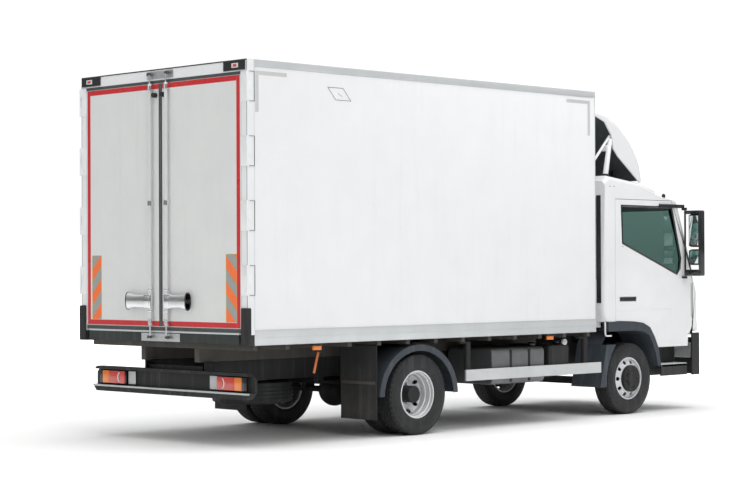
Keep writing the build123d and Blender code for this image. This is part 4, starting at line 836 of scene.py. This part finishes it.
def addTailLamp(side, sign):
    bm = bmesh.new()
    low, high = tailLook["low"], tailLook["high"]
    ys = sorted((sign * 0.6625, sign * 1.0515))
    addSlab(bm, (-3.329, ys[0], low - 0.0015), (tailLook["back"], ys[1], high + 0.0015), 0.012, 4, 0)
    for near, end, index in tailLook["cells"]:
        ys = sorted((sign * near, sign * end))
        addSlab(bm, (-3.3372, ys[0], low + 0.006), (-3.324, ys[1], high - 0.006), 0.005, 4, index)
    crescent = [(0.745 + 0.02 * math.sin(math.pi * i / 10), low + 0.02 + 0.09 * i / 10) for i in range(11)]
    for (y0, z0), (y1, z1) in zip(crescent, crescent[1:]):
        addRod(bm, (-3.3352, sign * y0, z0), (-3.3352, sign * y1, z1), 0.0042, sides=10, index=3)
        addRod(bm, (-3.3352, sign * (y0 + 0.008), z0), (-3.3352, sign * (y1 + 0.008), z1), 0.0042, sides=10, index=3)
    for near in (0.81, 0.865):
        centre = Vector((-3.3372, sign * near, (low + high) / 2))
        addRod(bm, centre, centre + Vector((-0.0006, 0, 0)), 0.026, 0.024, sides=28, index=1)
    ys = sorted((sign * 0.532, sign * 0.653))
    addSlab(bm, (-3.3035, ys[0], low), (-3.2965, ys[1], high), 0.003, 2, 0)
    addSlab(bm, (-3.3037, ys[0] + 0.006, low + 0.006), (-3.3032, ys[1] - 0.006, high - 0.006), 0.0002, 1, 4)
    return bm


bothLamps = bmesh.new()
for side, sign in sides:
    lamp = addTailLamp(side, sign)
    holder = bpy.data.meshes.new("tailLampHalf")
    lamp.to_mesh(holder)
    lamp.free()
    bothLamps.from_mesh(holder)
    bpy.data.meshes.remove(holder)
finishPiece("tail_lamps_look", bothLamps, ["glossBlack", "redLens", "orangeLens", "clearLens", "greyMark"], "chassis",
            ["tail_lamps"])
print("tail lamps made")


# wheels
tyreLook = {"outer": 0.3832, "bead": 0.2245, "half": 0.1055, "steps": 96, "grooveDepth": 0.009}


def tyreProfile():
    out, bead, half, dip = tyreLook["outer"], tyreLook["bead"], tyreLook["half"], tyreLook["grooveDepth"]
    points = [(bead + 0.004, 0.066), (bead + 0.001, 0.083), (bead + 0.012, 0.0915), (bead + 0.02, 0.0935), (0.256, 0.1005),
              (0.259, 0.1017), (0.262, 0.1014), (0.285, half), (0.305, half), (0.318, half - 0.0012), (0.32, half),
              (0.326, half - 0.0002), (0.328, half - 0.0016), (0.345, half - 0.006), (0.362, 0.0945), (0.372, 0.0915),
              (out - 0.0045, 0.086)]
    tread = [(out - 0.0028, 0.083), (out - 0.0012, 0.056), (out - dip, 0.0545), (out - dip, 0.0475), (out - 0.0008, 0.046),
             (out - 0.0002, 0.0205), (out - dip, 0.019), (out - dip, 0.012), (out - 0.0001, 0.0105)]
    oneSide = points + tread
    return oneSide + [(r, -a) for r, a in oneSide[::-1]]


def addTyre(bm, centre):
    profile = tyreProfile()
    verts = [bm.verts.new((centre.x, centre.y + a, centre.z + r)) for r, a in profile]
    edges = [bm.edges.new(pair) for pair in zip(verts, verts[1:])]
    before = set(bm.faces)
    bmesh.ops.spin(bm, geom=verts + edges, cent=centre, axis=(0, 1, 0), angle=2 * math.pi, steps=tyreLook["steps"],
                   use_merge=True, dvec=(0, 0, 0))
    faces = [f for f in bm.faces if f not in before]
    bmesh.ops.recalc_face_normals(bm, faces=faces)
    middle = Vector(centre)
    blocks = []
    for face in faces:
        spot = face.calc_center_median() - middle
        radius = math.hypot(spot.x, spot.z)
        turn = int(round(math.degrees(math.atan2(spot.z, spot.x)) / (360 / tyreLook["steps"]) - 0.5))
        if radius > tyreLook["outer"] - 0.004 and 0.0105 < abs(spot.y) < 0.084:
            odd = (turn + (1 if spot.y > 0 else 0) + (1 if abs(spot.y) < 0.05 else 0)) % 2
            if odd == 0:
                blocks.append(face)
        elif 0.36 < radius < 0.3775 and turn % 2 == 0 and abs(spot.y) > 0.08:
            blocks.append(face)
    inset = bmesh.ops.inset_individual(bm, faces=blocks, thickness=0.0035, depth=-0.004, use_even_offset=True)
    return inset


def addTyrePiece(name, centres, body, nodeName):
    bm = bmesh.new()
    for centre in centres:
        addTyre(bm, centre)
    finishPiece(name, bm, ["tyreRubber"], body, [nodeName], 28.0)


def rimPart(low, high):
    across = high.x - low.x
    if across > 0.4:
        return 0
    return 1 if across > 0.2 else 2


axleFront = (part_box("front_tyre_left")[0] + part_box("front_tyre_left")[1]) / 2
axleRear = (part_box("rear_tyres_left")[0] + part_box("rear_tyres_left")[1]) / 2
for side, sign in sides:
    frontCentre = Vector((axleFront.x, sign * abs(axleFront.y), axleFront.z))
    addTyrePiece("front_tyre_" + side + "_look", [frontCentre], "front_wheel_" + side, "front_tyre_" + side)
    rearLow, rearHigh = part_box("rear_tyres_" + side)
    outerY = max(abs(rearLow.y), abs(rearHigh.y)) - 0.109
    innerY = min(abs(rearLow.y), abs(rearHigh.y)) + 0.109
    centres = [Vector((axleRear.x, sign * y, axleRear.z)) for y in (outerY, innerY)]
    addTyrePiece("rear_tyres_" + side + "_look", centres, "rear_wheels_" + side, "rear_tyres_" + side)
    cadCopy("front_rim_" + side, "front_wheel_" + side, ["rimSilver", "chassisBlack", "galvanised"],
            rimPart, 0.002)
    cadCopy("rear_rims_" + side, "rear_wheels_" + side, ["rimSilver", "chassisBlack", "galvanised"],
            rimPart, 0.002)


rimLook = {
    # distance in from the rear wheel's outer face, radius of the dish at that place
    "dish": ((0.001, 0.2275), (0.004, 0.2185), (0.03, 0.2145), (0.036, 0.207), (0.085, 0.204), (0.092, 0.197),
             (0.14, 0.1945)),
    "wall": 0.0025, "bossRing": 0.1, "bosses": 6, "steps": 72,
}


def addDish(side, sign, centre, face):
    bm = bmesh.new()
    line = [(centre.x, face - sign * deep, centre.z + r) for deep, r in rimLook["dish"]]
    wall = [(centre.x, face - sign * deep, centre.z + r + rimLook["wall"]) for deep, r in rimLook["dish"]]
    verts = [bm.verts.new(v) for v in line + wall[::-1]]
    edges = [bm.edges.new((verts[i - 1], verts[i])) for i in range(len(verts))]
    bmesh.ops.spin(bm, geom=verts + edges, cent=(centre.x, face, centre.z), axis=(0, 1, 0), angle=2 * math.pi,
                   steps=rimLook["steps"], use_merge=True, dvec=(0, 0, 0))
    bmesh.ops.recalc_face_normals(bm, faces=bm.faces)
    finishPiece("rim_dish_" + side, bm, ["rimSilver"], "rear_wheels_" + side, angle=24.0)


def addHubBosses(side, sign, centre, face):
    bm = bmesh.new()
    for i in range(rimLook["bosses"]):
        turn = 2 * math.pi * i / rimLook["bosses"]
        spot = Vector((centre.x + math.cos(turn) * rimLook["bossRing"], face,
                       centre.z + math.sin(turn) * rimLook["bossRing"]))
        addRod(bm, spot - Vector((0, sign * 0.004, 0)), spot + Vector((0, sign * 0.004, 0)), 0.027, 0.024, sides=20, index=0,
               edge=0.002)
        addRod(bm, spot, spot + Vector((0, sign * 0.009, 0)), 0.015, 0.014, sides=6, index=1, edge=0.001)
    addRod(bm, (centre.x, face - sign * 0.004, centre.z), (centre.x, face + sign * 0.006, centre.z), 0.05, 0.046, sides=32,
           index=0, edge=0.003)
    finishPiece("hub_bosses_" + side, bm, ["blackPlastic", "chassisBlack"], "front_wheel_" + side)


for side, sign in sides:
    outer = max(abs(v.y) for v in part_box("rear_rims_" + side))
    addDish(side, sign, axleRear, sign * outer)
    cover = max(abs(v.y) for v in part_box("front_rim_" + side))
    addHubBosses(side, sign, axleFront, sign * (cover - 0.0085))


def sparePart(low, high):
    return 0 if high.x - low.x > 0.6 else 1


cadCopy("spare_wheel", "chassis", ["tyreRubber", "rimSilver"], sparePart, 0.006, 3)
print("wheels made")


# cab
def onRoofSide(e):
    a, b = e.verts
    if abs(a.co.y) < 0.99 or abs(b.co.y) < 0.99 or min(a.co.z, b.co.z) < 2.33:
        return False
    normals = [f.normal for f in e.link_faces]
    return abs(abs(normals[0].y) - abs(normals[1].y)) > 0.8


def onRearCorner(e):
    a, b = e.verts
    return (abs(a.co.x - cabLow.x) < 0.001 and abs(b.co.x - cabLow.x) < 0.001 and abs(a.co.y) > 0.99
            and abs(b.co.y) > 0.99 and abs(a.co.z - b.co.z) > 0.3)


def onFront(e):
    a, b = e.verts
    normals = [f.normal for f in e.link_faces]
    return (abs(a.co.y) > 0.99 and abs(b.co.y) > 0.99 and min(a.co.x, b.co.x) > 3.3301
            and abs(abs(normals[0].y) - abs(normals[1].y)) > 0.8)


cabMiddle = Vector(((cabLow.x + cabHigh.x) / 2, 0.0, 1.6))


def liningPaint(spot, facing):
    inside = abs(spot.y) < cabHigh.y - 0.04 and spot.x > cabLow.x + 0.03 and spot.z > 0.85
    return 1 if inside and facing.dot(cabMiddle - spot) > 0.0 else 0


cadCopy("cab_shell", "cab", ["cabWhite", "dashPlastic"], None, 0.004, 3,
        rounds=((onRoofSide, 0.05, 6), (onRearCorner, 0.06, 6), (onFront, 0.045, 5)), paint=liningPaint)


def cabDoorPaint(spot, facing):
    if abs(spot.y) > cabHigh.y + 0.0005:
        return 1
    if abs(spot.y) < cabHigh.y - 0.044:
        return 2
    rim = abs(facing.y) < 0.3 and 1.48 < spot.z < 2.27 and 2.04 < spot.x < 3.14
    return 1 if rim else 0


for side, sign in sides:
    cadCopy("cab_door_" + side, "cab_door_" + side, ["cabWhite", "blackPlastic", "dashPlastic"], None,
            0.006, 3, paint=cabDoorPaint)
print("cab body made")


# cab interior, steps and bumper
padLook = {"voxel": 0.012, "pressure": 4.0, "cap": 0.018, "fill": 0.75, "channelDepth": 0.007, "channelWide": 0.009}
padShapes = {
    # name: low corner, high corner, lean back over its height, channels along y
    "driver_cushion": ((2.124, 0.24, 1.247), (2.594, 0.70, 1.342), 0.0, (0.36, 0.58)),
    "driver_back": ((2.094, 0.24, 1.357), (2.2, 0.70, 1.70), 0.065, (0.36, 0.58)),
    "driver_headrest": ((2.02, 0.33, 1.715), (2.1, 0.61, 1.872), 0.015, ()),
    "bench_cushion": ((2.124, -0.89, 1.247), (2.594, 0.11, 1.342), 0.0, (-0.76, -0.5, -0.28, -0.02)),
    "bench_back": ((2.094, -0.89, 1.357), (2.2, 0.11, 1.70), 0.065, (-0.76, -0.5, -0.28, -0.02)),
    "bench_headrest": ((2.02, -0.79, 1.715), (2.1, -0.51, 1.872), 0.015, ()),
}


def startPad(name, low, high, lean):
    bm = bmesh.new()
    addSlab(bm, low, high, 0.03, 4)
    for vert in bm.verts:
        vert.co.x -= lean * (vert.co.z - low[2]) / (high[2] - low[2])
    mesh = bpy.data.meshes.new(name)
    bm.to_mesh(mesh)
    bm.free()
    pad = bpy.data.objects.new(name, mesh)
    bpy.context.scene.collection.objects.link(pad)
    remesh = pad.modifiers.new("remesh", "REMESH")
    remesh.mode = "VOXEL"
    remesh.voxel_size = padLook["voxel"]
    bakeModifiers(pad)
    return pad


def bakeModifiers(piece):
    bpy.context.view_layer.update()
    view = piece.evaluated_get(bpy.context.evaluated_depsgraph_get())
    settled = bpy.data.meshes.new_from_object(view)
    piece.modifiers.clear()
    piece.data = settled


def swellPads(pads):
    before = {pad.name: [v.co.copy() for v in pad.data.vertices] for pad in pads}
    for pad in pads:
        cloth = pad.modifiers.new("cloth", "CLOTH")
        cloth.settings.use_pressure = True
        cloth.settings.uniform_pressure_force = padLook["pressure"]
        cloth.settings.effector_weights.gravity = 0.0
        cloth.settings.quality = 4
    for step in range(1, 21):
        bpy.context.scene.frame_set(step)
    for pad in pads:
        bakeModifiers(pad)
    bpy.context.scene.frame_set(1)
    for pad in pads:
        for vert, start in zip(pad.data.vertices, before[pad.name]):
            move = vert.co - start
            if move.length > padLook["cap"]:
                vert.co = start + move.normalized() * padLook["cap"]


def sewPad(pad, low, high, channels):
    seat = high[2] - low[2] < 0.12
    middle = (Vector(low) + Vector(high)) / 2
    bm = bmesh.new()
    bm.from_mesh(pad.data)
    bm.normal_update()
    for vert in bm.verts:
        nearest = min((abs(vert.co.y - y) for y in channels), default=1.0)
        dip = padLook["channelDepth"] * math.exp(-(nearest / padLook["channelWide"]) ** 2)
        facing = vert.normal.z if seat else vert.normal.x
        if facing > 0.3:
            vert.co -= vert.normal * dip
        edge = abs((vert.co.x - middle.x) if seat else (vert.co.z - middle.z))
        half = (high[0] - low[0] if seat else high[2] - low[2]) / 2 - 0.03
        vert.co -= vert.normal * 0.004 * math.exp(-((edge - half) / 0.006) ** 2)
    bm.to_mesh(pad.data)
    bm.free()
    pad.data.materials.clear()
    pad.data.materials.append(finishes["seatCloth"])
    pad.data.shade_smooth()
    finer = pad.modifiers.new("finer", "SUBSURF")
    finer.levels = finer.render_levels = 1
    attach(pad, "cab")


def addSeatFrames():
    bm = bmesh.new()
    for low, high in (((2.166, 0.292, 0.942), (2.532, 0.648, 1.238)), ((2.166, -0.838, 0.942), (2.532, 0.058, 1.238))):
        addSlab(bm, low, high, 0.02, 3, 0)
    for y in (0.4, 0.54, -0.72, -0.58):
        addRod(bm, (2.06, y, 1.67), (2.055, y, 1.74), 0.007, sides=12, index=1)
    for y in (0.243, 0.697, -0.887, 0.107):
        addRod(bm, (2.15, y, 1.25), (2.15, y, 1.36), 0.03, sides=20, index=0, edge=0.004)
    finishPiece("seat_frames", bm, ["dashPlastic", "chrome"], "cab", ["seats"])


pads = [startPad(name, low, high, lean) for name, (low, high, lean, channels) in padShapes.items()]
swellPads(pads)
for pad, (low, high, lean, channels) in zip(pads, padShapes.values()):
    sewPad(pad, low, high, channels)
addSeatFrames()
print("seats padded")


def stepPaint(spot, facing):
    return 1 if spot.z > 0.84 and spot.x < 1.95 else 0


cadCopy("cab_steps", "cab", ["blackPlastic", "cabWhite"], None, 0.004, 3, paint=stepPaint)
cadCopy("front_bumper", "chassis", ["blackPlastic"], None, 0.012, 4)
treadLook = {"x0": 2.7515, "x1": 3.2225, "near": 0.826, "far": 0.9985, "z0": 0.5125, "ribs": 11}


def addTreads():
    bm = bmesh.new()
    for sign in (1, -1):
        ys = sorted((sign * treadLook["near"], sign * treadLook["far"]))
        z0 = treadLook["z0"]
        addSlab(bm, (treadLook["x0"], ys[0], z0), (treadLook["x1"], ys[1], z0 + 0.003), 0.001, 1, 0)
        for i in range(treadLook["ribs"]):
            y = ys[0] + 0.012 + (ys[1] - ys[0] - 0.024) * i / (treadLook["ribs"] - 1)
            addSlab(bm, (treadLook["x0"] + 0.01, y - 0.0025, z0 + 0.002), (treadLook["x1"] - 0.01, y + 0.0025, z0 + 0.006),
                    0.001, 1, 0)
        ys = sorted((sign * 0.9982, sign * 1.0))
        addSlab(bm, (treadLook["x0"], ys[0], 0.486), (treadLook["x1"], ys[1], 0.5135), 0.0005, 1, 0)
    finishPiece("step_treads", bm, ["railSilver"], "cab")


addTreads()
print("steps and bumper made")


# roof spoiler
hoodLook = {"half": 0.9, "wall": 0.021, "round": 0.04, "bend": 0.07}
hoodTop = [(-0.035, 3.255), (0.125, 3.233), (0.365, 3.12), (0.585, 2.935), (0.735, 2.73), (0.785, 2.53)]
hoodBack = [(0.745, 2.505), (0.365, 2.78), (0.285, 2.86), (0.255, 3.0), (0.14, 3.14), (-0.035, 3.2)]


def addHood():
    bm = bmesh.new()
    x0, half = cabLow.x, hoodLook["half"]
    corners = [bm.verts.new((x0 + x, -half, z)) for x, z in hoodTop + hoodBack]
    outline = bm.faces.new(corners)
    raised = bmesh.ops.extrude_face_region(bm, geom=[outline])["geom"]
    bmesh.ops.translate(bm, vec=(0, 2 * half, 0), verts=[v for v in raised if isinstance(v, bmesh.types.BMVert)])
    bmesh.ops.recalc_face_normals(bm, faces=bm.faces)
    backSpots = [(x0 + x, z) for x, z in [hoodTop[-1]] + hoodBack + [hoodTop[0]]]

    def onBack(face):
        return len(face.verts) == 4 and all(
            min(math.hypot(v.co.x - x, v.co.z - z) for x, z in backSpots) < 0.001 for v in face.verts)

    bmesh.ops.delete(bm, geom=[f for f in bm.faces if onBack(f)], context="FACES")
    bends = [e for e in bm.edges if len(e.link_faces) == 2 and abs(e.verts[0].co.y - e.verts[1].co.y) > 1.0]
    bmesh.ops.bevel(bm, geom=bends, offset=hoodLook["bend"], segments=5, profile=0.5, affect="EDGES", material=-1)
    rims = [e for e in bm.edges if len(e.link_faces) == 2 and abs(abs(e.link_faces[0].normal.y)
                                                                 - abs(e.link_faces[1].normal.y)) > 0.8]
    bmesh.ops.bevel(bm, geom=rims, offset=hoodLook["round"], segments=7, profile=0.5, affect="EDGES", material=-1)
    hood = finishPiece("roof_spoiler_look", bm, ["cabWhite", "sealGrey"], "cab", ["roof_spoiler"], 25.0)
    wall = hood.modifiers.new("wall", "SOLIDIFY")
    wall.thickness = hoodLook["wall"]
    wall.offset = -1.0
    wall.material_offset = 1
    return roundEdges(hood, 0.003, 2, 40.0)


def addHoodFrame():
    bm = bmesh.new()
    x, half, roof = cabLow.x, hoodLook["half"], cabHigh.z
    for sign in (1, -1):
        near, out = sign * (half - 0.038), sign * (half + 0.012)
        addRod(bm, (x + 0.12, out, roof - 0.005), (x + 0.268, near, 2.962), 0.03, 0.026, sides=24, index=0, edge=0.003)
        addRod(bm, (x + 0.12, out, roof - 0.012), (x + 0.123, out, roof + 0.02), 0.045, 0.036, sides=24, index=1, edge=0.003)
        addRod(bm, (x + 0.258, near, 2.994), (x - 0.02, near, 2.71), 0.0145, sides=16, index=0)
        addRod(bm, (x - 0.02, sign * 0.7, 2.71), (x + 0.068, sign * 0.7, roof - 0.012), 0.0145, sides=16, index=0)
        for turn in ((x - 0.02, near, 2.71), (x - 0.02, sign * 0.7, 2.71)):
            bmesh.ops.create_uvsphere(bm, u_segments=16, v_segments=10, radius=0.017, matrix=Matrix.Translation(turn))
        ys = sorted((sign * 0.482, sign * 0.538))
        addSlab(bm, (x + 0.692, ys[0], roof - 0.12), (x + 0.728, ys[1], 2.652), 0.004, 2, 1)
        ys = sorted((sign * (half - 0.03), sign * (half - 0.1)))
        addSlab(bm, (x + 0.2, ys[0], 2.83), (x + 0.24, ys[1], 2.9), 0.006, 2, 0)
    addRod(bm, (x - 0.02, -half + 0.038, 2.71), (x - 0.02, half - 0.038, 2.71), 0.0145, sides=16, index=0)
    # painted highlight: this pale blue strip under the spoiler's top rear lip stands in for light falling on the far
    # inner face of the spoiler
    addSlab(bm, (x - 0.0345, -half + 0.03, 3.176), (x - 0.03, half - 0.03, 3.212), 0.001, 1, 2)
    finishPiece("hood_frame", bm, ["cabWhite", "chassisBlack", "paleBlue"], "cab")


addHood()
addHoodFrame()
print("roof spoiler made")


# mirrors
mirrorLook = {"x": 3.1495, "y0": 1.075, "y1": 1.235, "axisY": 1.038, "deep": 0.099}


def addMirror(side, sign):
    x, y0, y1, axisY, deep = (mirrorLook[k] for k in ("x", "y0", "y1", "axisY", "deep"))

    def slab(xs, ys, zs, edge, index, steps=4):
        low, high = sorted((sign * ys[0], sign * ys[1]))
        addSlab(bm, (xs[0], low, zs[0]), (xs[1], high, zs[1]), edge, steps, index)

    bm = bmesh.new()
    for z0, z1 in ((1.801, 2.169), (1.601, 1.779)):
        slab((x + 0.001, x + deep), (y0, y1 - 0.004), (z0, z1), 0.032, 0, 6)
        slab((x + 0.0005, x + 0.003), (y0 + 0.018, y1 - 0.022), (z0 + 0.02, z1 - 0.02), 0.0012, 1, 2)
        slab((x + 0.0008, x + 0.006), (y0 + 0.01, y1 - 0.014), (z0 + 0.012, z1 - 0.012), 0.0025, 2, 2)
    slab((x + 0.01, x + deep), (y1 - 0.03, y1), (1.482, 2.208), 0.0145, 0, 5)
    slab((x + 0.002, x + 0.04), (axisY, y1 - 0.004), (1.482, 1.553), 0.014, 0, 5)
    slab((x + 0.002, x + 0.04), (axisY, y1 - 0.004), (2.167, 2.208), 0.012, 0, 5)
    addRod(bm, (x, sign * axisY, 1.4805), (x, sign * axisY, 2.2095), 0.0108, sides=20, index=0)
    addRod(bm, (x, sign * axisY, 1.457), (x, sign * axisY, 2.235), 0.0068, sides=16, index=3)
    for z0, z1 in ((1.482, 1.553), (2.167, 2.208)):
        addRod(bm, (x, sign * axisY, z0), (x, sign * axisY, z1), 0.011, sides=24, index=0, edge=0.002)
    finishPiece("mirror_" + side + "_look", bm, ["glossBlack", "mirrorGlass", "rubber", "galvanised"], "mirror_" + side,
                ["mirror_" + side], 28.0)


for side, sign in sides:
    addMirror(side, sign)
print("mirrors made")


# windows and small parts on the cab
windowLine = [(2.0475, 2.254), (2.0655, 1.832), (3.0485, 1.49), (3.1145, 1.56), (3.1295, 1.68), (2.9635, 2.25)]
frameLook = {"band": 0.024, "thick": 0.0022}


def addWindowFrame(side, sign):
    bm = bmesh.new()
    outline = bm.faces.new([bm.verts.new((x, sign * (cabHigh.y - 0.0005), z)) for x, z in windowLine])
    bmesh.ops.bevel(bm, geom=list(outline.verts), offset=0.03, segments=5, profile=0.5, affect="VERTICES")
    pane = bm.faces[:]
    ring = bmesh.ops.inset_region(bm, faces=pane, thickness=frameLook["band"], use_even_offset=True,
                                  use_boundary=True)["faces"]
    bmesh.ops.delete(bm, geom=[f for f in bm.faces if f not in ring], context="FACES")
    piece = finishPiece("window_frame_" + side, bm, ["glossBlack"], "cab_door_" + side)
    wall = piece.modifiers.new("wall", "SOLIDIFY")
    wall.thickness = frameLook["thick"]
    wall.offset = 0.0
    return piece


def addDoorDetails(side, sign):
    bm = bmesh.new()
    y0, y1 = sorted((sign * (cabHigh.y - 0.001), sign * (cabHigh.y + 0.0015)))
    addSlab(bm, (3.3035, y0, 1.02), (3.3105, y1, 1.4), 0.001, 1, 0)
    addSlab(bm, (1.97, y0, 1.112), (2.95, y1, 1.1245), 0.0014, 2, 3)
    addSlab(bm, (2.0655, y0, 1.8), (2.09, y1, 1.806), 0.0008, 1, 1)
    inner = sorted((sign * (cabHigh.y - 0.0705), sign * (cabHigh.y - 0.0455)))
    addSlab(bm, (2.3, inner[0], 1.3), (2.9, inner[1], 1.36), 0.01, 4, 2)
    finishPiece("door_details_" + side, bm, ["rubber", "sealGrey", "dashPlastic", "cabWhite"], "cab_door_" + side)


for side, sign in sides:
    addWindowFrame(side, sign)
    addDoorDetails(side, sign)


def addCabDetails():
    bm = bmesh.new()
    for sign in (1, -1):
        addRod(bm, (2.82, sign * 0.985, 2.362), (2.82, sign * 0.9995, 2.362), 0.028, 0.024, sides=28, index=0, edge=0.003)
        low, high = sorted((sign * 0.9985, sign * 1.0016))
        addSlab(bm, (3.3262, low, 1.01), (3.3345, high, 1.41), 0.001, 1, 0)
        for x in (1.85, 1.92):
            low, high = sorted((sign * 0.9985, sign * 1.0008))
            addSlab(bm, (x, low, 2.444), (x + 0.03, high, 2.449), 0.0008, 1, 1)
    addSlab(bm, (1.7705, -0.945, 1.2), (1.7755, -0.885, 2.35), 0.002, 2, 0)
    for low, high in (((1.74, -0.62, 1.05), (1.776, -0.3, 1.3)), ((1.745, -0.1, 1.1), (1.776, 0.25, 1.28))):
        addSlab(bm, low, high, 0.008, 3, 0)
    finishPiece("cab_details", bm, ["blackPlastic", "sealGrey"], "cab")


addCabDetails()
print("cab details made")


# under the box

def addUnderParts():
    bm = bmesh.new()
    strap = Matrix.Translation((-2.49, -1.06, 0.73)) @ Matrix.Rotation(math.radians(16), 4, "Y")
    made = bmesh.ops.create_cube(bm, size=1.0, matrix=strap @ Matrix.Diagonal((0.028, 0.006, 0.2, 1.0)))
    bmesh.ops.bevel(bm, geom=list({e for v in made["verts"] for e in v.link_edges}), offset=0.002, segments=2,
                    profile=0.5, affect="EDGES", material=-1)
    addSlab(bm, (-2.47, -1.066, 0.82), (-2.42, -1.05, 0.9), 0.004, 2, 1)
    for x in (0.13, 0.41):
        for low, high in (((x, -1.0935, 0.44), (x + 0.035, -1.0895, 0.76)), ((x, -1.08, 0.7795), (x + 0.035, -0.49, 0.7835))):
            addSlab(bm, low, high, 0.0015, 2, 1)
    addRod(bm, (0.98, -1.08, 0.815), (0.98, -1.105, 0.815), 0.036, 0.032, sides=28, index=2, edge=0.004)
    addRod(bm, (0.98, -1.104, 0.815), (0.98, -1.109, 0.815), 0.02, 0.018, sides=24, index=3, edge=0.002)
    finishPiece("under_parts", bm, ["strapOrange", "chassisBlack", "rodGrey", "paleBlue"], "chassis")


addUnderParts()
grilleLook = {"face": 3.4497, "half": 0.52, "low": 0.93, "high": 1.13, "slats": 6}


def addGrille():
    bm = bmesh.new()
    face, half, low, high = (grilleLook[k] for k in ("face", "half", "low", "high"))
    addSlab(bm, (face - 0.012, -half, low), (face + 0.004, half, high), 0.0035, 3, 0)
    for i in range(grilleLook["slats"]):
        z = low + 0.02 + (high - low - 0.04) * i / (grilleLook["slats"] - 1)
        addSlab(bm, (face + 0.002, -half + 0.025, z - 0.007), (face + 0.014, half - 0.025, z + 0.005), 0.0025, 2, 1)
    for sign in (1, -1):
        for z in (0.905, 1.215):
            ys = sorted((sign * 0.56, sign * 0.9))
            addSlab(bm, (face - 0.006, ys[0], z), (face + 0.0015, ys[1], z + 0.008), 0.0008, 1, 0)
    finishPiece("front_grille", bm, ["glossBlack", "blackPlastic"], "cab")


addGrille()
print("small parts made")



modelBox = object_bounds()
for lowest, highest in (cadBox, modelBox):
    json.dumps([list(lowest), list(highest)]) + "\n"
